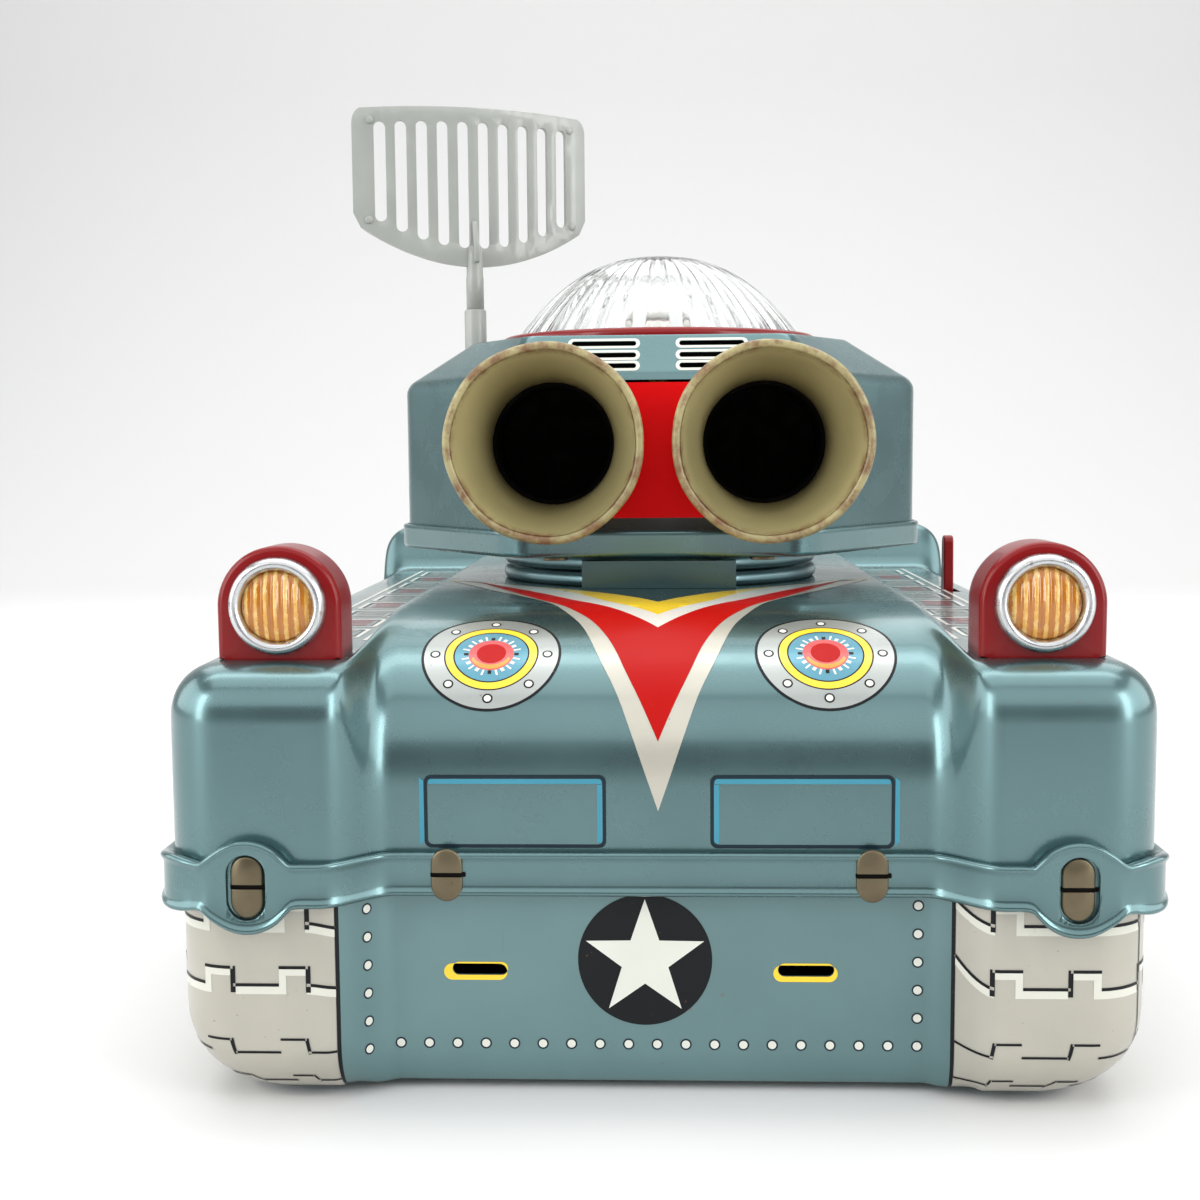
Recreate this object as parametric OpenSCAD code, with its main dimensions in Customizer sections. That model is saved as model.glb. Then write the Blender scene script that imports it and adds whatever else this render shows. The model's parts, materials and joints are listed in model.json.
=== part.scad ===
// Tin planet crawler with a hand-swivelled rocket turret, turning radar screen and bump-and-go drive.
// Millimetres. +Z up, front faces -Y, origin on the floor under the middle of the hull.

/* [Hull] */
// Width of the hull over its side walls
hull_w = 155; // [152:1:158]
// Length of the hull over its front and rear walls
hull_l = 238; // [236:1:244]
// Height of the belly above the floor
belly_z = 1.5; // [1.5:0.5:2.5]
// Height of the seam where the two hull pressings meet
seam_z = 36.5; // [36:0.5:37]
// Height of the flat fender tops
fender_z = 70.2; // [69.8:0.1:70.6]
// Rise of the bonnet above the fenders
hood_rise = 5.8; // [5.4:0.1:6.2]
// Rise of the rear deck above the fenders
deck_rise = 11.8; // [9:0.1:11.8]
// Half width of the bonnet at the middle of its shoulder
hood_half_w = 47.5; // [46:0.5:49]
// How far the nose sits back from the fender fronts
nose_recess = 7.5; // [6:0.5:8]
// Thickness of the tinplate
tin = 0.8; // [0.6:0.1:0.8]

/* [Turret] */
// Distance of the turret's pivot from the middle of the hull
pivot_y = -14; // [-15:1:-13]
// Width of the turret
turret_w = 108; // [106:1:109]
// Height of the turret's base above the floor
turret_z = 82.5; // [82.5:0.5:83]
// Height of the turret's flat roof
roof_z = 125; // [124:0.5:126]
// Outer radius of the turntable ring
ring_r = 33.5; // [32:0.5:34]
// Outer radius of the dome
dome_r = 31; // [29:0.5:31]
// Height of the top of the dome
dome_top_z = 143.6; // [142:0.1:144]

/* [Rocket nozzles] */
// Distance of each nozzle's axis from the middle plane
nozzle_x = 21.1; // [20.8:0.1:21.4]
// Height of the nozzle axes
nozzle_z = 104.3; // [104:0.1:105]
// Outer radius of the flared mouth
mouth_r = 18.9; // [18:0.1:19]
// Inner radius of the throat
throat_r = 11.5; // [11:0.1:11.6]

/* [Radar] */
// Width of the radar screen
dish_w = 50; // [46:1:50]
// Height of the top of the radar screen
dish_top_z = 174; // [172:1:177]
// Number of slots in the screen
dish_slots = 10; // [8:1:10]
// Angle that the screen is turned to at rest
dish_yaw = 20; // [0:5:40]

/* [Lamps] */
// Distance of each headlamp from the middle plane
lamp_x = 60.2; // [60:0.1:60.6]
// Radius of the headlamp's metal bezel
bezel_r = 7.8; // [7.4:0.1:8]

/* [Drive] */
// Distance of the steering carriage's axis from the middle of the hull
carriage_y = -45; // [-46:1:-44]
// Radius of the driving wheels over their tyres
drive_r = 15; // [15:0.5:15]
// Radius of the rear wheels
rear_r = 11; // [10.5:0.5:11]
// Distance of the rear axle behind the middle of the hull
rear_axle_y = 92; // [91:1:94]
// Front edge of the battery opening behind the middle of the hull
battery_y0 = 4; // [3:1:5]

/* [Hidden] */
$fn = 64;
EPS = 0.01;
GAP = 0.05;
half_w = hull_w / 2;
half_l = hull_l / 2;
hood_z = fender_z + hood_rise;
hull_corner_r = 10;

// ---------- small helpers ----------
function smooth(t) = let (c = min(1, max(0, t))) c * c * (3 - 2 * c);
function mix(a, b, t) = a + (b - a) * t;
function unit(v) = v / norm(v);
function reversed(list) = [for (i = [len(list) - 1 : -1 : 0]) list[i]];
function arc_steps(a, b, n) = [for (i = [0 : n]) a + (b - a) * i / n];

module along_y(y0, y1, r) translate([0, y0, 0]) rotate([-90, 0, 0]) cylinder(r = r, h = y1 - y0);
module along_x(x0, x1, r) translate([x0, 0, 0]) rotate([0, 90, 0]) cylinder(r = r, h = x1 - x0);
module slab(x0, x1, y0, y1, z0, z1) translate([x0, y0, z0]) cube([x1 - x0, y1 - y0, z1 - z0]);
module tube(r_out, r_in, h) difference() {
    cylinder(r = r_out, h = h);
    translate([0, 0, -1]) cylinder(r = r_in, h = h + 2);
}
module both_sides() {
    children();
    mirror([1, 0, 0]) children();
}
module both_ends() {
    children();
    mirror([0, 1, 0]) children();
}
// Meshes everything inside it in one go; a size of zero keeps every dimension as it is.
module as_one_mesh() resize([0, 0, 0]) children();

// A closed surface through rings of equal length, the last joined to the first.
module ring_shell(rings) {
    n = len(rings[0]);
    m = len(rings);
    polyhedron(points = [for (ring = rings) each ring], faces = [
        for (k = [0 : m - 1]) for (i = [0 : n - 1])
            let (a = k * n + i, b = k * n + (i + 1) % n)
            let (c = ((k + 1) % m) * n + (i + 1) % n, d = ((k + 1) % m) * n + i)
            each [[a, c, b], [a, d, c]]
    ]);
}

// Stations [x, y, inward x, inward y] round a convex outline of corners [x, y, radius], anticlockwise.
function corner_stations(p, q, s, n) =
    let (d1 = unit([q[0] - p[0], q[1] - p[1]]), d2 = unit([s[0] - q[0], s[1] - q[1]]))
    let (turn = acos(d1 * d2), a1 = atan2(d1[1], d1[0]), back = q[2] * tan(turn / 2))
    let (cx = q[0] - d1[0] * back - d1[1] * q[2], cy = q[1] - d1[1] * back + d1[0] * q[2])
    [for (a = arc_steps(a1 - 90, a1 - 90 + turn, n)) [cx + q[2] * cos(a), cy + q[2] * sin(a), -cos(a),
        -sin(a)]];
function outline_stations(corners, n) = let (m = len(corners)) [
    for (i = [0 : m - 1]) each corner_stations(corners[(i + m - 1) % m], corners[i], corners[(i + 1) % m], n)
];
function flat_ring(stations, inset) = [for (s = stations) [s[0] + s[2] * inset, s[1] + s[3] * inset]];
function level(stations, inset, z) = [for (p = flat_ring(stations, inset)) [p[0], p[1], z]];

// ---------- hull outline ----------
hood_slope_w = 4.8;
function spine(x) = smooth((hood_half_w - abs(x)) / hood_slope_w + 0.46);
function nose_y(x) = -half_l + nose_recess * smooth((50 - abs(x)) / 6);
function rear_deck(y) = smooth((y - 78) / 9);
function top_z(x, y) = fender_z + max(hood_rise * spine(x), deck_rise * rear_deck(y));
front_xs = [66, 64, 62, 60, 58.7, 57.5, 56.3, 55.2, 54.1, 53, 52, 51, 50, 49, 48, 47, 46, 45, 44, 42,
    36, 28, 18, 8];
side_ys = [-60, -14, 30, 60, 72, 78, 79.5, 81, 82.5, 84, 85.5, 87, 91, 98];
rear_xs = [64, 52, 40, 26, 9, -9, -26, -40, -52, -64];
function hull_corner(sx, sy, a0) = [for (a = [a0 : 18 : a0 + 72])
    [sx * (half_w - hull_corner_r) + hull_corner_r * cos(a), sy * (half_l - hull_corner_r)
        + hull_corner_r * sin(a),
     -cos(a), -sin(a)]];
hull_stations = let (cx = half_w - hull_corner_r, cy = half_l - hull_corner_r) [
    [-cx, -half_l, 0, 1],
    for (x = front_xs) [-x, nose_y(x), 0, 1],
    for (x = reversed(front_xs)) [x, nose_y(x), 0, 1],
    each hull_corner(1, -1, -90),
    for (y = concat([-cy], side_ys)) [half_w, y, -1, 0],
    each hull_corner(1, 1, 0),
    for (x = rear_xs) [x, half_l, 0, -1],
    each hull_corner(-1, 1, 90),
    for (y = reversed(concat([-cy], side_ys, [cy]))) [-half_w, y, 1, 0],
    for (s = hull_corner(-1, -1, 180)) if (s[1] < -cy - EPS) s
];
function is_front(s) = s[3] > 0.999;
function edge_z(s) = fender_z + (is_front(s) ? hood_rise * spine(s[0]) : deck_rise * rear_deck(s[1]));
function round_in(s) = is_front(s) ? mix(9, 35.5, spine(s[0])) : 9;
function round_up(s) = is_front(s) ? mix(9, 26, spine(s[0])) : 9;

// ---------- upper pressing ----------
round_power = 2 / 2.2;
function round_ring(a, t) = [
    for (s = hull_stations)
        let (rise = round_up(s), inset = t + (round_in(s) - t) * (1 - pow(cos(a), round_power)))
        [s[0] + s[2] * inset, s[1] + s[3] * inset, edge_z(s) - rise + (rise - t) * pow(sin(a), round_power)]
];
pivot_hole_r = 9;
function deck_ring(u, t) = [
    for (s = hull_stations)
        let (ex = s[0] + s[2] * round_in(s), ey = s[1] + s[3] * round_in(s), a = atan2(ey - pivot_y, ex))
        let (x = mix(ex, pivot_hole_r * cos(a), u), y = mix(ey, pivot_y + pivot_hole_r * sin(a), u))
        [x, y, top_z(x, y) - t]
];
deck_stages = [0.03, 0.06, 0.09, 0.12, 0.15, 0.18, 0.21, 0.23, 0.25, 0.27, 0.29, 0.31, 0.33, 0.35, 0.45,
    0.65, 1];
function hull_skin(t) = [
    level(hull_stations, t, seam_z),
    each [for (a = arc_steps(0, 90, 5)) round_ring(a, t)],
    each [for (u = deck_stages) deck_ring(u, t)]
];
module upper_shell() color("cadetblue") as_one_mesh() difference() {
    ring_shell(concat(hull_skin(0), reversed(hull_skin(tin))));
    slab(switch_x - 1.9, switch_x + 1.9, switch_y - 7, switch_y + 7, fender_z - 4, fender_z + 2);
}

// ---------- lower pressing ----------
belly_in = 1;
carriage_hole_r = 29.5;
rear_wheel_x = 53;
battery_y1 = battery_y0 + 70;
battery_half_w = 37;
slot_x = 26;
slot_off = -2.6;
slot_z = 20.45;
// How far the curve under each wall runs in, and how high up the wall it starts.
side_curve = [12, 14];
end_curve = [7, 9];
nose_curve = [1.5, 6];
function in_recess(s) = is_front(s) ? smooth((50 - abs(s[0])) / 6) : 0;
function curve_of(s) = mix(end_curve, nose_curve, in_recess(s));
function belly_rise(s) = mix(curve_of(s)[1], side_curve[1], abs(s[2]));
// A station moved in by c times its curve's run; the move fades out towards the middle of each wall.
function belly_at(s, c) = [
    s[0] - sign(s[0]) * (belly_in + side_curve[0] * c) * min(1, max(0, (abs(s[0]) - 50)
        / (half_w - hull_corner_r - 50))),
    s[1] - sign(s[1]) * (belly_in + curve_of(s)[0] * c) * min(1, abs(s[1]) / (half_l - hull_corner_r))
];
function belly_ring(a, t) = [
    for (s = hull_stations)
        let (p = belly_at(s, 1 - cos(a)))
        [p[0] + s[2] * t * cos(a), p[1] + s[3] * t * cos(a), belly_z + belly_rise(s) * (1 - sin(a))
            + t * sin(a)]
];
function floor_ring(u, t) = [
    for (s = hull_stations)
        let (e = belly_at(s, 1), a = atan2(e[1] - carriage_y, e[0]))
        [mix(e[0], carriage_hole_r * cos(a), u), mix(e[1], carriage_y + carriage_hole_r * sin(a), u),
            belly_z + t]
];
function belly_top(t) = [
    for (s = hull_stations)
        let (p = belly_at(s, 0))
        [p[0] + s[2] * t, p[1] + s[3] * t, seam_z - 0.3]
];
function belly_skin(t) = [
    belly_top(t),
    each [for (a = arc_steps(0, 90, 6)) belly_ring(a, t)],
    floor_ring(0.5, t), floor_ring(1, t)
];
module lower_shell() color("lightgray") as_one_mesh() difference() {
    ring_shell(concat(belly_skin(tin), reversed(belly_skin(0))));
    slab(-battery_half_w, battery_half_w, battery_y0, battery_y1, belly_z - 1, belly_z + 3);
    both_sides() slab(rear_wheel_x - 5.5, rear_wheel_x + 4.5, rear_axle_y - 11, rear_axle_y + 11,
        belly_z - 1, belly_z + 4);
    for (x = [slot_off - slot_x, slot_off + slot_x]) translate([x, -half_l, slot_z])
        slab(-4.4, 4.4, 0, 14, -1.05, 1.05);
}

// ---------- band that clamps the two pressings, with round bosses near the corners ----------
band_out = 2;
band_profile = [[-0.4, -3.5], [-1.5, -3.3], [-2, -2.4], [-2, 2.4], [-1.5, 3.3], [-0.4, 3.5], [-0.05,
    2.6], [-0.05, -2.6]];
boss_x = 63.3;
boss_r = 6.5;
boss_out = 3;
module belt_band() color("cadetblue") as_one_mesh() difference() {
    union() {
        ring_shell([for (p = band_profile) level(hull_stations, p[0], seam_z + p[1])]);
        both_ends() both_sides() translate([boss_x, 0, seam_z])
            along_y(-half_l - boss_out, -half_l - GAP, boss_r);
    }
    both_ends() both_sides() translate([boss_x, -half_l, seam_z]) hull() for (dz = [-1.6, 1.6])
        translate([0, 0, dz]) along_y(-4, -1.5, 3.15, $fn = 32);
}

// Two bent lugs with a slit between them, lying on a face that looks to -Y.
module lug_pair() for (dir = [-1, 1]) intersection() {
    translate([0, 0, dir * 1.55]) along_y(-0.6, 0, 2.4);
    slab(-2.5, 2.5, -1, 1, dir > 0 ? 0.3 : -4.2, dir > 0 ? 4.2 : -0.3);
}
nose_lug_x = 33;
side_lug_ys = [-70, 0, 70];
module belt_tabs() color("darkkhaki") {
    both_ends() both_sides() translate([boss_x, -half_l - 1.55, seam_z]) lug_pair();
    both_sides() {
        translate([nose_lug_x, nose_y(nose_lug_x) - band_out - GAP, seam_z]) lug_pair();
        translate([nose_lug_x, half_l + band_out + GAP, seam_z]) rotate([0, 0, 180]) lug_pair();
        for (y = side_lug_ys) translate([half_w + band_out + GAP, y, seam_z]) rotate([0, 0, 90]) lug_pair();
    }
}

// ---------- headlamps ----------
lamp_y = -half_l + 10;
lamp_half_w = 9.8;
lamp_h = 17.8;
lamp_face_z = fender_z + 8.6;
lamp_foot_gap = 0.3;
module headlamp_form(s) intersection() {
    hull() {
        translate([0, 0, lamp_h - lamp_half_w]) along_y(s, 9, lamp_half_w - s, $fn = 40);
        slab(s - lamp_half_w, lamp_half_w - s, s, 9, 0, 1);
        translate([0, 14 - s, 2]) scale([1, 1, 0.9]) sphere(r = 6 - s, $fn = 24);
    }
    slab(-12, 12, -1, 22, 0, 20);
}
module headlamp_housing() color("firebrick")
    translate([0, lamp_y, fender_z + lamp_foot_gap]) as_one_mesh() difference() {
    headlamp_form(0);
    translate([0, 0.2, -EPS]) headlamp_form(tin);
    translate([0, 0, lamp_face_z - fender_z - lamp_foot_gap]) along_y(-1, 3, bezel_r - 1.5, $fn = 48);
}
module headlamp_housing_left() translate([-lamp_x, 0, 0]) headlamp_housing();
module headlamp_housing_right() translate([lamp_x, 0, 0]) headlamp_housing();
// Half sections [radius, distance forward of the housing's face] of the bezel and the lens.
bezel_profile = [[bezel_r - 2.2, 0.9], [bezel_r - 1.7, 1.7], [bezel_r - 1, 2], [bezel_r - 0.3, 1.4],
    [bezel_r, 0.05],
                 [bezel_r - 1.6, 0.05], [bezel_r - 1.6, -1], [bezel_r - 2.2, -1]];
lens_r = bezel_r - 2.25;
lens_profile = [[0, -0.8], [lens_r, -0.8], [lens_r, 0.6], [lens_r * 0.7, 1.2], [lens_r * 0.35, 1.5], [0,
    1.6]];
module on_lamp_faces() both_sides() translate([lamp_x, lamp_y, lamp_face_z]) rotate([90, 0, 0]) children();
module headlamp_bezels() color("silver") on_lamp_faces() rotate_extrude() polygon(bezel_profile);
module headlamp_lenses() color("orange") on_lamp_faces() rotate_extrude() polygon(lens_profile);

// ---------- turntable ----------
pivot_r = 6;
split_z = hood_z + 2.9;
module at_pivot() translate([0, pivot_y, 0]) children();
module turntable_base() color("slategray") at_pivot() translate([0, 0, hood_z + GAP])
    tube(ring_r, pivot_r + 0.08, 2.75);
module turret_retainer() color("silver") at_pivot() translate([0, 0, hood_z - tin - 2])
    tube(12, pivot_r + 0.08, 1.9);
module turntable_top() color("slategray") at_pivot() {
    translate([0, 0, split_z + 0.2]) tube(ring_r, pivot_r - 1.2, turret_z - split_z - 0.25);
    translate([0, 0, hood_z - 3.2]) tube(pivot_r, pivot_r - 1.2, split_z - hood_z + 4);
    translate([0, 0, hood_z - 4]) tube(pivot_r + 3, pivot_r - 1.2, 0.8 + EPS);
}
module neck_block() color("cadetblue") difference() {
    slab(-15, 15, pivot_y - ring_r - 1.5, pivot_y - ring_r + 8, hood_z + GAP, turret_z - 1.1);
    at_pivot() cylinder(r = ring_r + 0.4, h = turret_z);
}

// ---------- switch ----------
switch_x = 66.5;
switch_y = 12;
switch_pivot_z = fender_z - 8;
module at_switch() translate([switch_x, switch_y, switch_pivot_z]) children();
module switch_lever() color("firebrick") at_switch() difference() {
    union() {
        hull() {
            translate([0, 0, 18.8]) along_x(-1.1, 1.1, 1.7, $fn = 32);
            along_x(-1.1, 1.1, 2.6, $fn = 32);
        }
        slab(-1.1, 1.1, -1.4, 1.4, -9, 0);
    }
    along_x(-3, 3, 1.06);
}
module switch_bracket() color("silver") at_switch() {
    along_x(-3.6, 3, 1);
    slab(-4.4, -3.6, -5, 5, -5, 6.9);
    slab(-10, -3.6, -5, 5, 6.1, 6.9);
}
module switch_contact() color("goldenrod") at_switch() {
    slab(-3, 3, 6.4, 6.8, -12, -1);
    slab(-3, 3, 6.4, 14, -12.4, -12);
}

// ---------- chassis ----------
chassis_z = 34;
bridge_z = 46;
reduction_x = 21.6;
motor_dy = -20.8;
motor_hole_r = 3.4;
module at_carriage() translate([0, carriage_y, 0]) children();
chassis_y0 = carriage_y - 52;
chassis_y1 = carriage_y + 46;
post_spots = [[-39, chassis_y0 + 6], [39, chassis_y0 + 6], [-39, chassis_y1 - 6], [39, chassis_y1 - 6]];
module chassis_plate() color("silver") difference() {
    slab(-44, 44, chassis_y0, chassis_y1, chassis_z, chassis_z + 1);
    at_carriage() translate([0, 0, chassis_z - 1]) cylinder(r = 4.06, h = 4);
}
module chassis_posts() color("silver") for (p = post_spots)
    translate([p[0], p[1], belly_z + tin + GAP]) cylinder(r = 2.5, h = chassis_z - belly_z - tin - 2 * GAP);
module chassis_screws() color("silver") for (p = post_spots)
    translate([p[0], p[1], belly_z - 0.9]) difference() {
    cylinder(r = 2.3, h = 0.85);
    slab(-3, 3, -0.3, 0.3, -1, 0.4);
}
bridge_spots = [[-14, -30], [-14, 22], [38, 12], [38, -30]];
module gear_bridge() color("silver") at_carriage() difference() {
    slab(-19, 42, -35, 27, bridge_z, bridge_z + 1);
    translate([0, 0, bridge_z - 1]) cylinder(r = 1.56, h = 4);
    translate([reduction_x, motor_dy, bridge_z - 1]) cylinder(r = motor_hole_r, h = 4);
}
module bridge_posts() color("silver") at_carriage() for (p = bridge_spots)
    translate([p[0], p[1], chassis_z + 1 + GAP]) cylinder(r = 1.8, h = bridge_z - chassis_z - 1 - 2 * GAP);
module motor_can() color("lightsteelblue") at_carriage()
    translate([reduction_x, motor_dy, bridge_z + 1 + GAP])
    difference() {
        union() {
            cylinder(r = 12, h = 21);
            cylinder(r = 3.3, h = 23);
        }
        translate([0, 0, -1]) cylinder(r = 1.06, h = 20);
    }

// ---------- involute gears ----------
gear_m = 0.8;
PRESSURE = 20;
THINNING = 0.84;
function inv_deg(a) = tan(a) * 180 / PI - a;
function half_tooth(r, rb, n) = 90 / n * THINNING + inv_deg(PRESSURE) - inv_deg(r > rb ? acos(rb / r) : 0);
function polar(r, a) = [r * cos(a), r * sin(a)];
function gear_outline(n) =
    let (rp = n * gear_m / 2, rb = rp * cos(PRESSURE), root = rp - 1.15 * gear_m, tip = rp + 0.85 * gear_m)
    let (radii = arc_steps(root, tip, 4))
    [for (i = [0 : n - 1]) each concat(
        [for (r = radii) polar(r, 360 * i / n - half_tooth(r, rb, n))],
        [for (r = reversed(radii)) polar(r, 360 * i / n + half_tooth(r, rb, n))])];
module gear(n, h, bore, phase = 0) rotate([0, 0, phase]) difference() {
    linear_extrude(height = h) polygon(gear_outline(n));
    if (bore > 0) translate([0, 0, -1]) cylinder(r = bore, h = h + 2);
}

final_n = 40;
reduction_n = 14;
motor_n = 12;
final_z = 38;
module final_gear() color("goldenrod") at_carriage() {
    translate([0, 0, final_z]) gear(final_n, 2, 0);
    translate([0, 0, final_z - 0.6]) cylinder(r = 8, h = 0.6);
    translate([0, 0, final_z + 2]) cylinder(r = 3, h = bridge_z - final_z - 2.1);
    translate([0, 0, final_z + 2]) cylinder(r = 1.5, h = bridge_z - final_z + 2);
}
module reduction_gear() color("goldenrod") at_carriage() translate([reduction_x, 0, 0]) {
    translate([0, 0, 37.2]) gear(reduction_n, 5.2, 1.3, 180 + 180 / reduction_n);
    translate([0, 0, 42.4]) gear(final_n, 1.6, 1.3, -90);
}
module reduction_stud() color("silver") at_carriage() translate([reduction_x, 0, chassis_z + 1 + GAP])
    cylinder(r = 1.25, h = bridge_z - chassis_z - 1 - 2 * GAP);
module motor_pinion() color("goldenrod") at_carriage() translate([reduction_x, motor_dy, 0]) {
    translate([0, 0, 41.8]) gear(motor_n, 3, 0, 90 + 180 / motor_n);
    translate([0, 0, 44.8]) cylinder(r = 1, h = 18);
}

// ---------- bump-and-go carriage ----------
drive_wheel_x = 19;
crown_n = 20;
crown_r = crown_n * gear_m / 2;
pinion_n = 12;
crown_z = drive_r + pinion_n * gear_m / 2;
bridge_top_z = crown_z + 3.4;
disc_z = belly_z + 1.4;
sleeve_top_z = chassis_z + 1.9;
module carriage_disc() color("silver") at_carriage() difference() {
    translate([0, 0, disc_z]) cylinder(r = carriage_hole_r - 0.8, h = 0.9);
    both_sides() slab(drive_wheel_x - 4.7, drive_wheel_x + 4.7, -12.5, 12.5, belly_z, belly_z + 4);
}
module carriage_bridge() color("silver") at_carriage() difference() {
    union() {
        both_sides() slab(12, 13, -6, 6, disc_z + 0.95, bridge_top_z);
        slab(-13, 13, -6, 6, bridge_top_z - 1, bridge_top_z);
    }
    translate([0, 0, drive_r]) along_x(-14, 14, 1.56);
    translate([0, 0, bridge_top_z - 3]) cylinder(r = 2.06, h = 6);
}
module carriage_sleeve() color("silver") at_carriage() difference() {
    translate([0, 0, bridge_top_z + GAP]) union() {
        cylinder(r = 6.5, h = 1);
        cylinder(r = 4, h = sleeve_top_z - bridge_top_z - GAP);
        translate([0, 0, chassis_z + 1.1 - bridge_top_z - GAP]) cylinder(r = 6, h = 0.8);
    }
    translate([0, 0, bridge_top_z - 1]) cylinder(r = 2.06, h = 20);
}
module crown_wheel() color("goldenrod") at_carriage() {
    for (i = [0 : crown_n - 1]) rotate([0, 0, 360 * (i + 0.5) / crown_n])
        slab(crown_r - 0.4, crown_r + 0.4, -0.45, 0.45, crown_z - 0.7, crown_z + 1.1);
    translate([0, 0, crown_z + 1]) cylinder(r = crown_r + 0.6, h = 0.8);
    translate([0, 0, crown_z + 1]) cylinder(r = 2, h = final_z - 0.7 - crown_z - 1);
}
module clutch_disc() color("saddlebrown") at_carriage() translate([0, 0, sleeve_top_z + 0.1])
    tube(7.5, 2 + EPS, final_z - 0.65 - sleeve_top_z - 0.1);
module at_axle() translate([0, carriage_y, drive_r]) children();
module drive_axle() color("silver") at_axle() along_x(-24.5, 24.5, 1.5);
module drive_pinion() color("goldenrod") at_axle() translate([crown_r - 2, 0, 0]) rotate([0, 90, 0])
    gear(pinion_n, 3.6, 1.5 + EPS);
module drive_hubs() color("gray") at_axle() both_sides() difference() {
    union() {
        along_x(drive_wheel_x - 3.2, drive_wheel_x + 3.2, drive_r - 3.6);
        along_x(drive_wheel_x - 4.4, drive_wheel_x, 3);
    }
    along_x(0, 40, 1.5 + EPS);
}
module drive_tyres() color("dimgray") at_axle() both_sides() translate([drive_wheel_x, 0, 0])
    rotate([0, 90, 0])
    rotate_extrude() translate([drive_r, 0])
        polygon([[-3.55, -3.5], [-1.2, -3.5], [-0.2, -2.7], [0, -1.6], [0, 1.6], [-0.2, 2.7], [-1.2,
            3.5], [-3.55, 3.5]]);

// ---------- rear axle ----------
module at_rear() translate([0, rear_axle_y, rear_r]) children();
module rear_axle() color("silver") at_rear() along_x(-rear_wheel_x - 4, rear_wheel_x + 4, 1.25);
module rear_wheels() color("dimgray") at_rear() both_sides() difference() {
    union() {
        along_x(rear_wheel_x - 3, rear_wheel_x + 3, rear_r);
        along_x(rear_wheel_x - 4.6, rear_wheel_x, 3.4);
    }
    along_x(0, 70, 1.25 + EPS);
    along_x(rear_wheel_x + 2, rear_wheel_x + 4, 7.5);
}
bracket_x = rear_wheel_x - 8;
module rear_axle_brackets() color("silver") both_sides() difference() {
    union() {
        slab(bracket_x, bracket_x + 1, rear_axle_y - 5, rear_axle_y + 5, belly_z + tin + GAP, rear_r + 5);
        slab(bracket_x - 7, bracket_x, rear_axle_y - 5, rear_axle_y + 5, belly_z + tin + GAP,
            belly_z + 2 * tin + GAP);
    }
    at_rear() along_x(30, 60, 1.31);
}

// ---------- batteries ----------
cell_r = 16.8;
cell_len = 61;
cell_x = 17.6;
box_lift = 2.6;
cell_z = belly_z + box_lift + cell_r;
cell_y0 = battery_y0 + 1.8;
box_top_z = cell_z + cell_r + 1.4;
door_pivot_y = battery_y0 + 2;
door_pivot_z = belly_z + 0.9;
ear_x = battery_half_w - 1.8;
module battery_box() color("silver") difference() {
    union() {
        slab(-battery_half_w + 0.2, battery_half_w - 0.2, battery_y0 + 0.2, battery_y1 - 0.2,
            belly_z + box_lift, box_top_z);
        both_sides() slab(ear_x, ear_x + 0.8, battery_y0 + 0.4, battery_y0 + 3.6, belly_z + 0.1,
            belly_z + box_lift + 0.1);
    }
    slab(-battery_half_w + 1, battery_half_w - 1, battery_y0 + 1, battery_y1 - 1,
        belly_z + box_lift - EPS, box_top_z - tin);
    translate([0, door_pivot_y, door_pivot_z]) along_x(-40, 40, 0.6 + EPS);
}
module battery_cells() color("darkslategray") both_sides() translate([cell_x, 0, cell_z]) {
    along_y(cell_y0, cell_y0 + cell_len - 1.6, cell_r);
    along_y(cell_y0 + cell_len - 1.7, cell_y0 + cell_len, 4.8);
}
// Cone spring between each cell and the rear wall, its wire swept along the coil.
spring_turns = 4;
spring_steps = 14;
wire_r = 0.45;
spring_last = spring_turns * spring_steps;
function spring_ring(i) =
    let (a = 360 * i / spring_steps, r = mix(4, 7.5, i / spring_last), y = mix(0.6, 4.6, i / spring_last))
    [for (b = [0 : 60 : 300]) [(r + wire_r * cos(b)) * cos(a), y + wire_r * sin(b),
        (r + wire_r * cos(b)) * sin(a)]];
module wire(rings) {
    n = len(rings[0]);
    m = len(rings);
    polyhedron(points = [for (ring = rings) each ring], faces = concat(
        [for (k = [0 : m - 2]) for (i = [0 : n - 1])
            let (a = k * n + i, b = k * n + (i + 1) % n) each [[a, b, b + n], [a, b + n, a + n]]],
        [[for (i = [n - 1 : -1 : 0]) i], [for (i = [0 : n - 1]) (m - 1) * n + i]]));
}
module battery_springs() color("silver") both_sides() translate([cell_x, cell_y0 + cell_len + 0.3, cell_z])
    wire([for (i = [0 : spring_last]) spring_ring(i)]);
module battery_contacts() color("goldenrod") {
    both_sides() translate([cell_x, 0, cell_z]) slab(-6, 6, battery_y0 + 1 + GAP, battery_y0 + 1.6, -8, 12);
    slab(-24, 24, battery_y1 - 1.5, battery_y1 - 1 - GAP, cell_z + 10, cell_z + 14);
}
module battery_door() color("lightgray") difference() {
    union() {
        slab(-battery_half_w + 0.8, battery_half_w - 0.8, door_pivot_y + 1.9, battery_y1 - 0.6,
            belly_z + 0.1, belly_z + 0.9);
        for (x = [-24, 12]) {
            translate([0, door_pivot_y, door_pivot_z]) along_x(x, x + 12, 1.3);
            slab(x, x + 12, door_pivot_y, door_pivot_y + 2, belly_z + 0.1, belly_z + 0.9);
        }
    }
    translate([0, door_pivot_y, door_pivot_z]) along_x(-40, 40, 0.66);
    slab(-7, 7, battery_y1 - 7, battery_y1 - 5, belly_z - 1, belly_z + 2);
}
module door_hinge_pin() color("silver") translate([0, door_pivot_y, door_pivot_z])
    along_x(-battery_half_w + 0.6, battery_half_w - 0.6, 0.6);

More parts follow.
